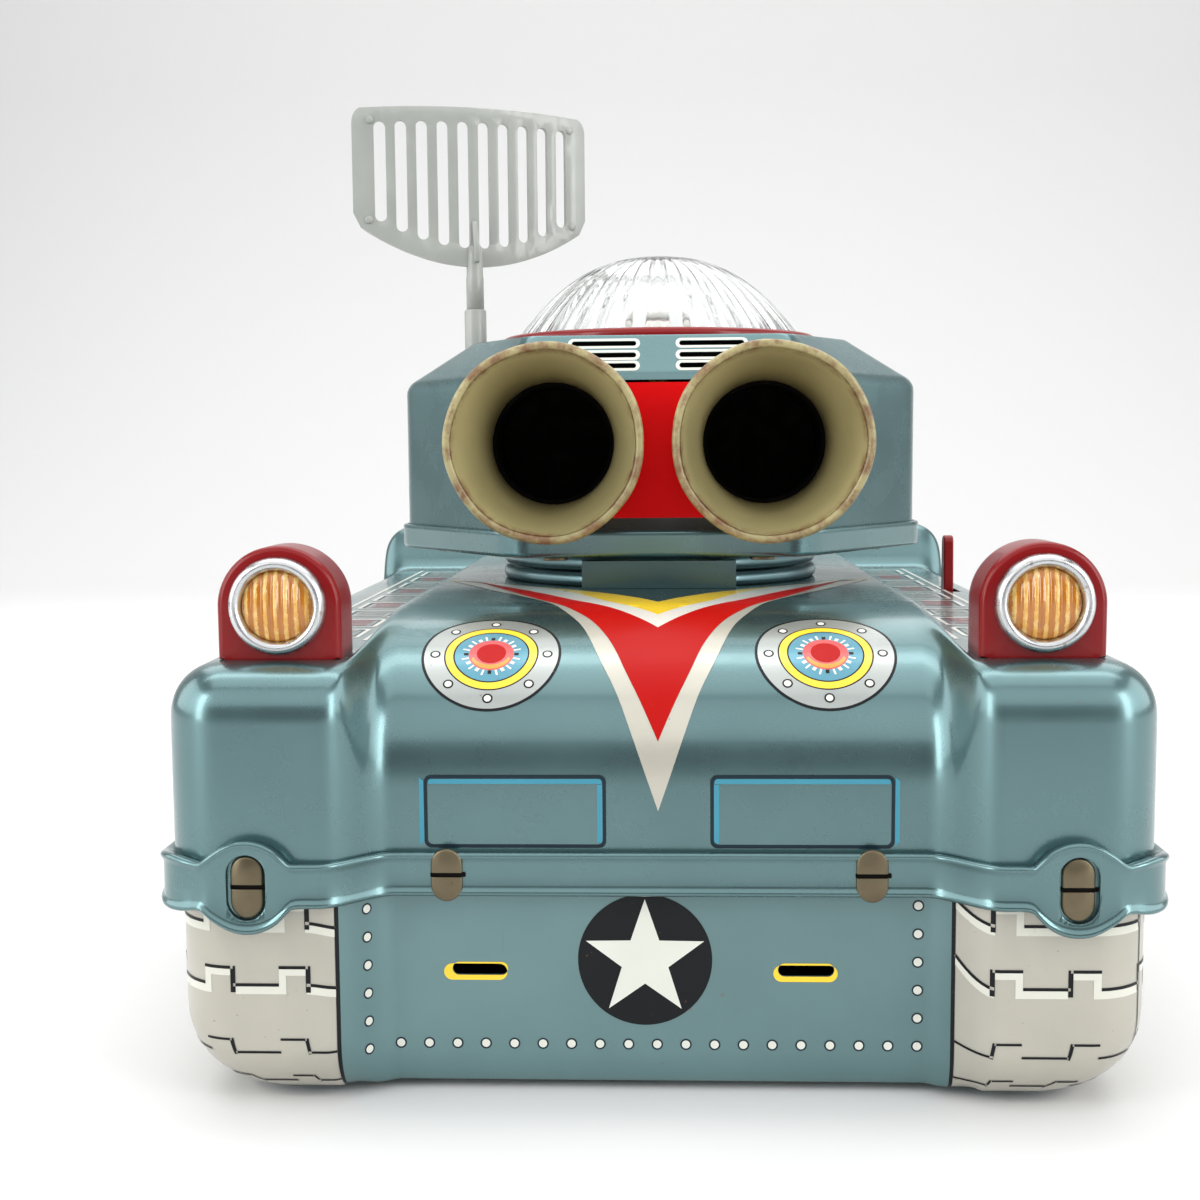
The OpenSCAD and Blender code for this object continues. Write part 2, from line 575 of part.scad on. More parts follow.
// ---------- turret pressing ----------
half_t = turret_w / 2;
turret_front = pivot_y - 40;
turret_rear = pivot_y + 57;
wall_top_z = 115;
wall_corners = [[28, turret_front, 9], [half_t, -18, 9], [half_t, 25, 9], [30, turret_rear, 9],
                [-30, turret_rear, 9], [-half_t, 25, 9], [-half_t, -18, 9], [-28, turret_front, 9]];
roof_front = turret_front + 5.9;
roof_corners = [[25, roof_front, 5], [38.3, -27, 6], [38.3, 16, 6], [24, 27, 6],
                [-24, 27, 6], [-38.3, 16, 6], [-38.3, -27, 6], [-25, roof_front, 5]];
wall_stations = outline_stations(wall_corners, 4);
roof_stations = outline_stations(roof_corners, 4);
// Shoulder stages: share of the way in to the roof's edge, against share of the climb to it.
shoulder = [[0, 0], [0.02, 0.12], [0.07, 0.22], [0.14, 0.29], [1, 1]];
dome_hole_r = dome_r - 3;
function shoulder_ring(p, t) = [for (i = [0 : len(wall_stations) - 1])
    let (w = wall_stations[i], r = roof_stations[i])
    [mix(w[0] + w[2] * t, r[0] + r[2] * t / 2, p[0]), mix(w[1] + w[3] * t, r[1] + r[3] * t / 2, p[0]),
     mix(wall_top_z, roof_z - t, p[1])]];
function roof_ring(u, t) = [for (s = roof_stations) let (a = atan2(s[1] - pivot_y, s[0]))
    [mix(s[0], dome_hole_r * cos(a), u), mix(s[1], pivot_y + dome_hole_r * sin(a), u), roof_z - t]];
function turret_skin(t) = [
    level(wall_stations, t, turret_z + 1 + GAP),
    each [for (p = shoulder) shoulder_ring(p, t)],
    roof_ring(0.5, t), roof_ring(1, t)
];
panel_half_w = 27;
panel_z0 = turret_z + 7.5;
panel_z1 = 115.7;
window_ys = [-12, 18];
window_zs = [93, 109];
louvre_zs = [118.9, 121.0, 123.3];
louvre_xs = [4.2, 16.5];
louvre_half = 0.5;
module nozzle_cuts(r) both_sides() translate([nozzle_x, 0, nozzle_z]) along_y(turret_front - 6, -34, r);
module turret_shell() color("cadetblue") as_one_mesh() difference() {
    ring_shell(concat(turret_skin(0), reversed(turret_skin(tin))));
    slab(-panel_half_w, panel_half_w, turret_front - 3, turret_front + 4, turret_z + 5.1, panel_z1 + 0.5);
    nozzle_cuts(15.6);
    both_sides() slab(half_t - 3, half_t + 1, window_ys[0], window_ys[1], window_zs[0], window_zs[1]);
    for (z = louvre_zs) both_sides()
        slab(louvre_xs[0], louvre_xs[1], turret_front - 2, turret_front + 9, z - louvre_half,
            z + louvre_half);
    translate([mast_x, mast_y, 110]) cylinder(r = 2.4, h = 30, $fn = 48);
}
module turret_base() color("cadetblue") difference() {
    translate([0, 0, turret_z]) linear_extrude(height = 5) polygon(flat_ring(wall_stations, -1.2));
    translate([0, 0, turret_z + 1]) linear_extrude(height = 5) polygon(flat_ring(wall_stations, -GAP));
    at_pivot() translate([0, 0, turret_z - 1]) cylinder(r = pivot_r - 1.2, h = 4);
    translate([mast_x, mast_y, turret_z - 1]) cylinder(r = 1.56, h = 4);
}
tab_spots = [[-20, -50], [20, -50], [-44, -20], [44, -20], [-44, 14], [44, 14], [-20, 36], [20, 36]];
module turret_tabs() color("dimgray") for (p = tab_spots)
    translate([p[0], p[1], turret_z - GAP]) rotate([90, 0, 0]) lug_pair();

// ---------- turret front ----------
module front_panel() color("firebrick") difference() {
    slab(-panel_half_w + 0.3, panel_half_w - 0.3, turret_front + 0.1, turret_front + 0.9, panel_z0, panel_z1);
    nozzle_cuts(15.7);
}
module louvre_backing() color("dimgray") slab(-22, 22, roof_front + 1.2, roof_front + 1.8,
    louvre_zs[0] - 0.6, roof_z - tin - 0.1);
// Nozzle sections [radius, distance back from the mouth]: flared horn with a rolled rim.
mouth_y = turret_front - 10;
throat_depth = 27;
horn_steps = 8;
tail_depth = 36;
bell_in = mouth_r - 1.6;
function horn_r(t) = throat_r + 0.7 + (bell_in - throat_r - 0.7) * pow(1 - t, 2.1);
horn_inner = [for (i = [0 : horn_steps]) let (t = i / horn_steps) [horn_r(t), t * throat_depth]];
horn_outer = [for (i = [horn_steps : -1 : 0]) let (t = i / horn_steps) [horn_r(t) + tin,
    t * throat_depth + 0.3]];
module nozzle() color("darkkhaki") translate([0, mouth_y, nozzle_z]) rotate([-90, 0, 0]) {
    rotate_extrude() polygon(concat(horn_inner, [[throat_r + 0.7, tail_depth], [throat_r + 1.5,
        tail_depth]], horn_outer));
    rotate_extrude() translate([mouth_r - 0.8, 0.5]) circle(r = 0.8, $fn = 32);
}
module nozzle_left() translate([-nozzle_x, 0, 0]) nozzle();
module nozzle_right() translate([nozzle_x, 0, 0]) nozzle();
throat_profile = [[throat_r, throat_depth - 1], [throat_r + 0.65, throat_depth - 1], [throat_r + 0.65,
    tail_depth + 8],
                  [0, tail_depth + 8], [0, tail_depth + 7.2], [throat_r, tail_depth + 7.2]];
module throat_tubes() color("dimgray") both_sides() translate([nozzle_x, mouth_y, nozzle_z])
    rotate([-90, 0, 0])
    rotate_extrude() polygon(throat_profile);
module nozzle_bulkhead() color("silver") difference() {
    slab(-36, 36, mouth_y + 30, mouth_y + 31, turret_z + 1 + GAP, wall_top_z);
    both_sides() translate([nozzle_x, 0, nozzle_z]) along_y(mouth_y + 28, mouth_y + 33, throat_r + 1.5 + EPS);
}
rib_pitch = 3.2;
module side_windows() color("tomato") both_sides() {
    slab(half_t - tin - 1.1, half_t - tin - 0.1, window_ys[0] - 2, window_ys[1] + 2, window_zs[0] - 2,
        window_zs[1] + 2);
    for (k = [0 : 4]) translate([0, 0, window_zs[0] + 0.8 + rib_pitch * k])
        slab(half_t - tin - 0.2, half_t, window_ys[0] + 0.4, window_ys[1] - 0.4, 0, 1.6);
}

// ---------- dome and lamp ----------
dome_base_z = roof_z + 0.2;
function dome_h(r, t) = (dome_top_z - dome_base_z - t) * (1 - pow(r / (dome_r - t), 2.4));
function dome_line(t) = [for (i = [0 : 14]) let (r = (dome_r - t) * sin(90 * i / 14)) [r, max(0,
    dome_h(r, t))]];
module dome() color("whitesmoke", 0.4) at_pivot() translate([0, 0, dome_base_z])
    rotate_extrude() polygon(concat(dome_line(0), reversed(dome_line(1.1))));
module dome_ring() color("firebrick") at_pivot() translate([0, 0, roof_z + GAP])
    rotate_extrude() translate([dome_r + 0.1, 0])
    polygon([[0, 0], [2.1, 0], [1.9, 1], [1, 1.6], [0, 1.4]]);
module dome_reflector() color("white") at_pivot() translate([0, 0, roof_z - tin - 0.7])
    tube(dome_hole_r + 2, 4.9 + EPS, 0.6);
module lamp_holder() color("silver") at_pivot() translate([0, 0, roof_z - 12]) difference() {
    union() {
        cylinder(r = 4.9, h = 13);
        cylinder(r = 7.5, h = 0.8);
    }
    translate([0, 0, 6]) cylinder(r = 3.8 + EPS, h = 10);
}
module lamp_bulb() color("lightyellow") at_pivot() translate([0, 0, roof_z - 5.9]) {
    cylinder(r = 3.8, h = 9);
    translate([0, 0, 10]) sphere(r = 4.2);
}

// ---------- radar ----------
mast_x = -38.5;
mast_y = -20;
socket_top_z = 132.6;
mast_r = 1.85;
dish_r = 120;
dish_t = 1.2;
dish_base_z = 141.4;
dish_bulge = 8.6;
slot_pitch = 4.3;
slot_r = 1.2;
half_dish = dish_w / 2;
function dish_low(x) = dish_base_z + dish_bulge * pow(x / half_dish, 2);
function dish_high(x) = dish_top_z - 0.9 * pow(x / half_dish, 2);
dish_outline = concat(
    [[-half_dish, dish_low(half_dish) + 2]],
    [for (x = arc_steps(1.5 - half_dish, half_dish - 1.5, 12)) [x, dish_low(x)]],
    [[half_dish, dish_low(half_dish) + 2], [half_dish, dish_top_z - 4]],
    [for (x = arc_steps(half_dish - 2.2, 2.2 - half_dish, 8)) [x, dish_high(x)]],
    [[-half_dish, dish_top_z - 4]]);
module at_mast() translate([mast_x, mast_y, 0]) children();
module radar_socket() color("gray") at_mast() translate([0, 0, turret_z + 1 + GAP])
    tube(2.3, 1.56, socket_top_z - turret_z - 1 - GAP);
module radar_slots() for (k = [0 : dish_slots - 1]) let (x = (k - (dish_slots - 1) / 2) * slot_pitch)
    let (z0 = dish_low(x) + 5, z1 = dish_high(x) - 4) {
        translate([x, 0, z0]) along_y(-5, 20, slot_r);
        translate([x, 0, z1]) along_y(-5, 20, slot_r);
        slab(x - slot_r, x + slot_r, -5, 20, z0, z1);
    }
module radar_dish() difference() {
    intersection() {
        translate([0, dish_r - dish_t / 2, dish_base_z - 1]) tube(dish_r, dish_r - dish_t, 50);
        translate([0, 20, 0]) rotate([90, 0, 0]) linear_extrude(height = 30) polygon(dish_outline);
    }
    radar_slots();
}
module radar() color("gray") at_mast() rotate([0, 0, dish_yaw]) {
    radar_dish();
    translate([0, 0, turret_z - 0.3]) cylinder(r = 1.5, h = dish_base_z + 2 - turret_z);
    translate([0, 0, socket_top_z + GAP]) cylinder(r = mast_r, h = dish_base_z + 4 - socket_top_z);
    translate([0, -dish_t / 2, dish_base_z + 1]) rotate([90, 0, -90]) translate([0, 0, -0.6])
        linear_extrude(height = 1.2) polygon([[-0.3, 0], [1.4, 0], [1.4, 3], [-0.3, 9]]);
}

upper_shell();
lower_shell();
belt_band();
belt_tabs();
headlamp_housing_left();
headlamp_housing_right();
headlamp_bezels();
headlamp_lenses();
turntable_base();
turret_retainer();
neck_block();
switch_lever();
switch_bracket();
switch_contact();
chassis_plate();
chassis_posts();
chassis_screws();
gear_bridge();
bridge_posts();
motor_can();
motor_pinion();
reduction_gear();
reduction_stud();
final_gear();
carriage_disc();
carriage_bridge();
carriage_sleeve();
crown_wheel();
clutch_disc();
drive_axle();
drive_pinion();
drive_hubs();
drive_tyres();
rear_axle();
rear_wheels();
rear_axle_brackets();
battery_box();
battery_cells();
battery_springs();
battery_contacts();
battery_door();
door_hinge_pin();
turret_shell();
turret_base();
turret_tabs();
turntable_top();
front_panel();
louvre_backing();
nozzle_left();
nozzle_right();
throat_tubes();
nozzle_bulkhead();
side_windows();
dome();
dome_ring();
dome_reflector();
lamp_holder();
lamp_bulb();
radar_socket();
radar();
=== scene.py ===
"""Tin planet crawler: tinplate shells, litho prints, nozzles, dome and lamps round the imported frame."""
import json
import math

import bmesh
import bpy
import numpy as np
from mathutils import Matrix, Vector
from mathutils.geometry import delaunay_2d_cdt


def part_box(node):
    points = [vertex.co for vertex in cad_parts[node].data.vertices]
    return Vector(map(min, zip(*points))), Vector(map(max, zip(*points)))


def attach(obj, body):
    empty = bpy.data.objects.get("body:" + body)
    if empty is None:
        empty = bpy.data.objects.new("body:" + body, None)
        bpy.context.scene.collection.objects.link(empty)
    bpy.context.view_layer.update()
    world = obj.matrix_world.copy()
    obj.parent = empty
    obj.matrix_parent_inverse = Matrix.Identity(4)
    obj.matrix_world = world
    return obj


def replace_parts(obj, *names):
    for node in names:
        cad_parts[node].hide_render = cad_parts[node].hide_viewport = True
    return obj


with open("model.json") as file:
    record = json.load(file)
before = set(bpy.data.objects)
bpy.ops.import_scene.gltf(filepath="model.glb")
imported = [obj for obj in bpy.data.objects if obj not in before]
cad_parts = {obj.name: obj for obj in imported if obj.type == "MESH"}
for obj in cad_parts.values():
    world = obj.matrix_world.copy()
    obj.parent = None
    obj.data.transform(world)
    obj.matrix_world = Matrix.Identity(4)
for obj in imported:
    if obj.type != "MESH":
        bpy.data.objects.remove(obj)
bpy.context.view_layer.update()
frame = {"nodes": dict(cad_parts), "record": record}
NODES = frame["nodes"]
MM = 0.001


def box_mm(node):
    """Lowest and highest corner of a CAD node, in millimetres."""
    low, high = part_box(node)
    return np.array(low) / MM, np.array(high) / MM


def middle_mm(node):
    """The middle (x, y, z) of a CAD node's box, in millimetres."""
    low, high = box_mm(node)
    return (low + high) / 2


# ---------------------------------------------------------------- driving sizes, from the frame, in mm
HALF_W, HALF_L, DECK_Z = box_mm("upper_shell")[1]
SEAM_Z = middle_mm("belt_band")[2]
BELLY_Z = box_mm("lower_shell")[0][2]
BELLY_IN = HALF_W - box_mm("lower_shell")[1][0]
FENDER_Z = box_mm("headlamp_housing_left")[0][2] - 0.3
HOOD_Z = box_mm("turntable_base")[0][2] - 0.05
PIVOT_Y = middle_mm("turntable_base")[1]
RING_R = box_mm("turntable_base")[1][0]
PIVOT = (0, PIVOT_Y, 0)
BELLY_END = HALF_L - box_mm("lower_shell")[1][1]
CARRIAGE_Y = middle_mm("carriage_disc")[1]
CARRIAGE_HOLE_R = box_mm("carriage_disc")[1][0] + 0.8
CORNER_R = 10.0
HOOD_HALF_W = 47.5
HOOD_SLOPE_W = 4.8
NOSE_RECESS = 7.5
NOSE_Y = -HALF_L + NOSE_RECESS
ROUND_POWER = 2 / 2.2
SKIN = 0.45
PRINT_LIFT = 0.05
# The front's slots and prints sit a little left of the middle; the track starts beside them.
SLOT_X, SLOT_Z = 26.0, 20.45
PRINT_DX_SLOTS = -2.6
PRINT_DX = -2.1
TRACK_X = 48.2
LOUVRE_ZS = (118.9, 121.0, 123.3)
LOUVRE_X = (4.15, 16.5)
LOUVRE_MID, LOUVRE_HALF = (LOUVRE_X[0] + LOUVRE_X[1]) / 2, (LOUVRE_X[1] - LOUVRE_X[0]) / 2
# The bonnet's crown curves this far in and down; every other shoulder has one radius.
BONNET_IN, BONNET_DOWN = 35.5, 26
SHOULDER_R = 9
# The nose is set back inside this x, over this width; the rear deck rises from this y, over this run.
NOSE_BEND_X, NOSE_BEND_W = 52.5, 11
DECK_Y, DECK_RUN = 78, 9
# The belly's curve under the sides, under the end walls and under the middle of the nose: in and up.
BELLY_SIDE_IN, BELLY_SIDE_RISE = 12, 14.0
BELLY_END_IN, BELLY_END_RISE = 7.0, 9.0
BELLY_NOSE_IN, BELLY_NOSE_RISE = 1.5, 6.0
BELLY_BEND_X, BELLY_BEND_W = 50, 6
THROAT_CUT_R = 15.6
FULL_TURN = 2 * math.pi


# ---------------------------------------------------------------- small helpers
def smooth(t):
    """An even ramp from 0 to 1, held beyond both ends."""
    t = np.clip(t, 0, 1)
    return t * t * (3 - 2 * t)


def mix(a, b, t):
    return a + (b - a) * t


def linspaces(*stretches):
    """Joined runs (start, end, steps), each without its end, and the last end added."""
    values = [v for a, b, n in stretches for v in np.linspace(a, b, n, endpoint=False)]
    return values + [stretches[-1][1]]


def distances_along(points):
    """The distance of each point from the first, along the line through them."""
    return np.concatenate([[0], np.cumsum(np.linalg.norm(np.diff(points, axis=0), axis=1))])


def arc(cx, cy, r, start, end, n, ry=None, endpoint=True):
    """Points (x, y) along an arc between two angles; with ry, along an ellipse's."""
    return [(cx + r * math.cos(a), cy + (r if ry is None else ry) * math.sin(a))
            for a in np.linspace(start, end, n, endpoint=endpoint)]


def add_mesh(name, verts_mm, faces, paint, body, smooth_shade=True):
    """A mesh object from points in millimetres, which rides on a body."""
    mesh = bpy.data.meshes.new(name)
    mesh.from_pydata([tuple(np.asarray(v) * MM) for v in verts_mm], [], faces)
    mesh.validate()
    obj = bpy.data.objects.new(name, mesh)
    bpy.context.scene.collection.objects.link(obj)
    tidy_mesh(obj)
    for p in paint if isinstance(paint, (list, tuple)) else [paint]:
        mesh.materials.append(p)
    mesh.shade_smooth() if smooth_shade else mesh.shade_flat()
    if body:
        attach(obj, body)
    return obj


def tidy_mesh(obj, merge=1e-6):
    bm = bmesh.new()
    bm.from_mesh(obj.data)
    bmesh.ops.remove_doubles(bm, verts=bm.verts, dist=merge)
    bmesh.ops.recalc_face_normals(bm, faces=bm.faces)
    bm.to_mesh(obj.data)
    bm.free()


def modify(obj, kind, **values):
    modifier = obj.modifiers.new(kind.lower(), kind)
    for key, value in values.items():
        setattr(modifier, key, value)
    return modifier


def bake_modifiers(obj):
    """Applies every modifier to the mesh."""
    graph = bpy.context.evaluated_depsgraph_get()
    baked = bpy.data.meshes.new_from_object(obj.evaluated_get(graph))
    obj.modifiers.clear()
    obj.data = baked
    return obj


def thicken(obj, thickness=SKIN):
    modify(obj, "SOLIDIFY", thickness=thickness * MM, offset=-1, use_rim=True, use_quality_normals=True)
    return bake_modifiers(obj)


def soften(obj, width, segments=2, angle=35):
    """Rounds the sharp edges and keeps the flats flat."""
    modify(obj, "BEVEL", width=width * MM, segments=segments, limit_method="ANGLE",
           angle_limit=math.radians(angle), harden_normals=True)
    return bake_modifiers(obj)


def crease(obj, angle=35):
    obj.data.shade_smooth()
    obj.data.set_sharp_from_angle(angle=math.radians(angle))
    return obj


def cut(obj, cutters):
    """Subtracts each cutter mesh and removes it."""
    for cutter in cutters:
        modify(obj, "BOOLEAN", operation="DIFFERENCE", object=cutter, solver="EXACT")
    bake_modifiers(obj)
    for cutter in cutters:
        bpy.data.objects.remove(cutter)
    return obj


def grid_faces(rows, cols, close_rows=False, close_cols=False, offset=0):
    faces = []
    for r in range(rows if close_rows else rows - 1):
        for c in range(cols if close_cols else cols - 1):
            r2, c2 = (r + 1) % rows, (c + 1) % cols
            corners = (r * cols + c, r * cols + c2, r2 * cols + c2, r2 * cols + c)
            faces.append(tuple(offset + i for i in corners))
    return faces


def plate_faces(rows, cols):
    """Faces of a plate: a front grid, a back grid whose points come after it, and the rim between."""
    n = rows * cols
    rim = list(range(cols)) + [i * cols + cols - 1 for i in range(1, rows)]
    rim += [(rows - 1) * cols + j for j in range(cols - 2, -1, -1)]
    rim += [i * cols for i in range(rows - 2, 0, -1)]
    faces = grid_faces(rows, cols) + [tuple(reversed(f)) for f in grid_faces(rows, cols, offset=n)]
    return faces + [(a, b, n + b, n + a) for a, b in zip(rim, rim[1:] + rim[:1])]


def loft(name, rings, paint, body, close_rows=False, cap_ends=False):
    """A surface through closed rings of equal length."""
    rings = np.asarray(rings, float)
    rows, cols = rings.shape[:2]
    faces = grid_faces(rows, cols, close_rows, True)
    if cap_ends:
        faces += [tuple(range(cols)), tuple((rows - 1) * cols + c for c in range(cols))]
    return add_mesh(name, rings.reshape(-1, 3), faces, paint, body)


def lathe(name, profile, centre, axis, paint, body, segments=96, closed=True, radius=None):
    """Turns a profile of (radius, height) round an axis 'x', 'y' or 'z' through a centre."""
    angles = np.linspace(0, 2 * math.pi, segments, endpoint=False)
    rings = []
    for r, h in profile:
        rr = np.full(segments, float(r)) if radius is None else radius(r, h, angles)
        u, v, w = rr * np.cos(angles), rr * np.sin(angles), np.full(segments, float(h))
        order = {"z": (u, v, w), "y": (u, w, v), "x": (w, u, v)}[axis]
        rings.append(np.stack(order, 1) + np.asarray(centre))
    return loft(name, rings, paint, body, close_rows=closed)


def block(name, low, high, paint=None, body=None):
    """A box between two corners."""
    (x0, y0, z0), (x1, y1, z1) = low, high
    verts = [(x, y, z) for z in (z0, z1) for y in (y0, y1) for x in (x0, x1)]
    faces = [(0, 1, 3, 2), (4, 5, 7, 6), (0, 1, 5, 4), (2, 3, 7, 6), (0, 2, 6, 4), (1, 3, 7, 5)]
    return add_mesh(name, verts, faces, paint or [], body, smooth_shade=False)


def rod(name, a, b, radius, paint=None, body=None, segments=48):
    """A capped cylinder from a to b, in millimetres."""
    a, b = Vector(a), Vector(b)
    turn = (b - a).to_track_quat("Z", "Y").to_matrix()
    rings = [[tuple(p + turn @ Vector((radius * math.cos(t), radius * math.sin(t), 0)))
              for t in np.linspace(0, 2 * math.pi, segments, endpoint=False)] for p in (a, b)]
    return loft(name, rings, paint or [], body, cap_ends=True)


def prism(name, outline, z0, z1, paint=None, body=None):
    """An outline of (x, y) points raised from z0 to z1."""
    rings = [[(x, y, z) for x, y in outline] for z in (z0, z1)]
    return loft(name, rings, paint or [], body, cap_ends=True)


def join(name, objs):
    """Joins meshes on one body into one object."""
    with bpy.context.temp_override(active_object=objs[0], object=objs[0], selected_objects=objs,
                                   selected_editable_objects=objs):
        bpy.ops.object.join()
    objs[0].name = name
    return objs[0]


# ---------------------------------------------------------------- materials
class Paint:
    """A Principled material built up in node layers, in object space."""

    def __init__(self, name, colour, **sockets):
        self.mat = bpy.data.materials.new(name)
        self.mat.use_nodes = True
        self.tree = self.mat.node_tree
        self.bsdf = self.tree.nodes["Principled BSDF"]
        self.bsdf.inputs["Base Color"].default_value = (*colour, 1)
        self.base = colour
        self.out = None
        self.coords = self.node("ShaderNodeTexCoord").outputs["Object"]
        for key, value in sockets.items():
            self.bsdf.inputs[key.replace("_", " ")].default_value = value

    def node(self, kind, **values):
        n = self.tree.nodes.new(kind)
        for key, value in values.items():
            if key in n.inputs:
                n.inputs[key].default_value = value
            else:
                setattr(n, key, value)
        return n

    def link(self, a, b):
        self.tree.links.new(a, b)

    def stretched(self, scale):
        mapping = self.node("ShaderNodeMapping")
        mapping.inputs["Scale"].default_value = scale
        self.link(self.coords, mapping.inputs["Vector"])
        return mapping.outputs[0]

    def noise(self, scale, detail=3, rough=0.5, vector=None):
        n = self.node("ShaderNodeTexNoise", Scale=scale, Detail=detail, Roughness=rough)
        self.link(vector or self.coords, n.inputs["Vector"])
        return n.outputs["Fac"]

    def window(self, value, low, high, to_low=0.0, to_high=1.0):
        n = self.node("ShaderNodeMapRange")
        for key, v in (("From Min", low), ("From Max", high), ("To Min", to_low), ("To Max", to_high)):
            n.inputs[key].default_value = v
        self.link(value, n.inputs["Value"])
        return n.outputs[0]

    def times(self, a, b):
        n = self.node("ShaderNodeMath", operation="MULTIPLY")
        self.link(a, n.inputs[0])
        if isinstance(b, (int, float)):
            n.inputs[1].default_value = b
        else:
            self.link(b, n.inputs[1])
        return n.outputs[0]

    def layer(self, factor, colour, blend="MIX"):
        """Lays a colour over the base colour by a factor."""
        n = self.node("ShaderNodeMix", data_type="RGBA", blend_type=blend)
        self.link(factor, n.inputs[0])
        if self.out is None:
            n.inputs[6].default_value = (*self.base, 1)
        else:
            self.link(self.out, n.inputs[6])
        n.inputs[7].default_value = (*colour, 1)
        self.out = n.outputs[2]
        self.link(self.out, self.bsdf.inputs["Base Color"])
        return self

    def roughness(self, value):
        self.link(value, self.bsdf.inputs["Roughness"])
        return self

    def bump(self, value, height_mm, strength=0.6):
        n = self.node("ShaderNodeBump", Strength=strength, Distance=height_mm * MM)
        self.link(value, n.inputs["Height"])
        self.link(n.outputs[0], self.bsdf.inputs["Normal"])
        return self


RUST = (0.16, 0.065, 0.025)


def enamel(name, colour, metallic=0.0, rough=0.3, coat=0.6, drift=0.12, rust=0.35, scratch=0.3, shine=0.5):
    """Gloss paint over tin: slow colour drift, hairline scratches, rust freckles and orange peel."""
    p = Paint(name, colour, Metallic=metallic, Coat_Weight=coat, Coat_Roughness=0.08,
              Specular_IOR_Level=shine)
    slow = p.noise(22, 4, 0.55)
    p.layer(p.window(slow, 0.35, 0.75, 0, drift), tuple(0.35 * c for c in colour))
    p.layer(p.window(slow, 0.62, 0.3, 0, drift), tuple(min(1, 1.25 * c + 0.03) for c in colour))
    if scratch:
        for scale in ((60, 1400, 900), (1500, 700, 50)):
            lines = p.window(p.noise(1.0, 2, 0.7, p.stretched(scale)), 0.735, 0.77)
            where = p.window(p.noise(38, 2), 0.5, 0.66)
            p.layer(p.times(p.times(lines, where), scratch), tuple(0.5 * c + 0.05 for c in colour))
    if rust:
        freckles = p.window(p.noise(520, 3, 0.6), 0.7, 0.735)
        where = p.window(p.noise(31, 3), 0.52, 0.66)
        p.layer(p.times(p.times(freckles, where), rust), RUST)
    p.roughness(p.window(p.noise(55, 5, 0.65), 0.3, 0.75, rough * 0.85, rough * 1.25))
    p.bump(p.noise(900, 2), 0.01)
    return p


def print_ink(name, colour, metallic=0.0, rough=0.32, fade=0.15, coat=0.4, shine=0.4):
    """Lithographed ink: slightly uneven, with worn freckles."""
    p = Paint(name, colour, Metallic=metallic, Coat_Weight=coat, Coat_Roughness=0.1,
              Specular_IOR_Level=shine)
    p.layer(p.window(p.noise(60, 4), 0.4, 0.8, 0, fade), tuple(0.6 * c for c in colour))
    p.layer(p.times(p.window(p.noise(900, 3, 0.6), 0.71, 0.74), 0.5), RUST)
    p.roughness(p.window(p.noise(120, 3), 0.3, 0.7, rough * 0.85, rough * 1.2))
    p.bump(p.noise(900, 2), 0.006)
    return p.mat


def bare_metal(name, colour, rough=0.3, grain=(40, 1800, 40), stain=0.4):
    """Bare metal with a drawn grain, stains and rust specks."""
    p = Paint(name, colour, Metallic=1.0)
    p.layer(p.window(p.noise(70, 5, 0.6), 0.45, 0.8, 0, stain), tuple(0.4 * c for c in colour))
    p.layer(p.times(p.window(p.noise(600, 3, 0.6), 0.66, 0.72), 0.5), RUST)
    lines = p.noise(1.0, 3, 0.6, p.stretched(grain))
    p.roughness(p.window(lines, 0.3, 0.7, rough * 0.7, rough * 1.4))
    p.bump(lines, 0.01, 0.4)
    return p.mat


def moulded(name, colour, rough=0.45, **sockets):
    """Moulded plastic, rubber or fibre with a fine grain."""
    p = Paint(name, colour, **sockets)
    p.layer(p.window(p.noise(90, 4), 0.4, 0.8, 0, 0.3), tuple(0.6 * c for c in colour))
    p.roughness(p.window(p.noise(300, 3), 0.3, 0.7, rough * 0.8, rough * 1.2))
    p.bump(p.noise(1400, 3), 0.02, 0.5)
    return p.mat


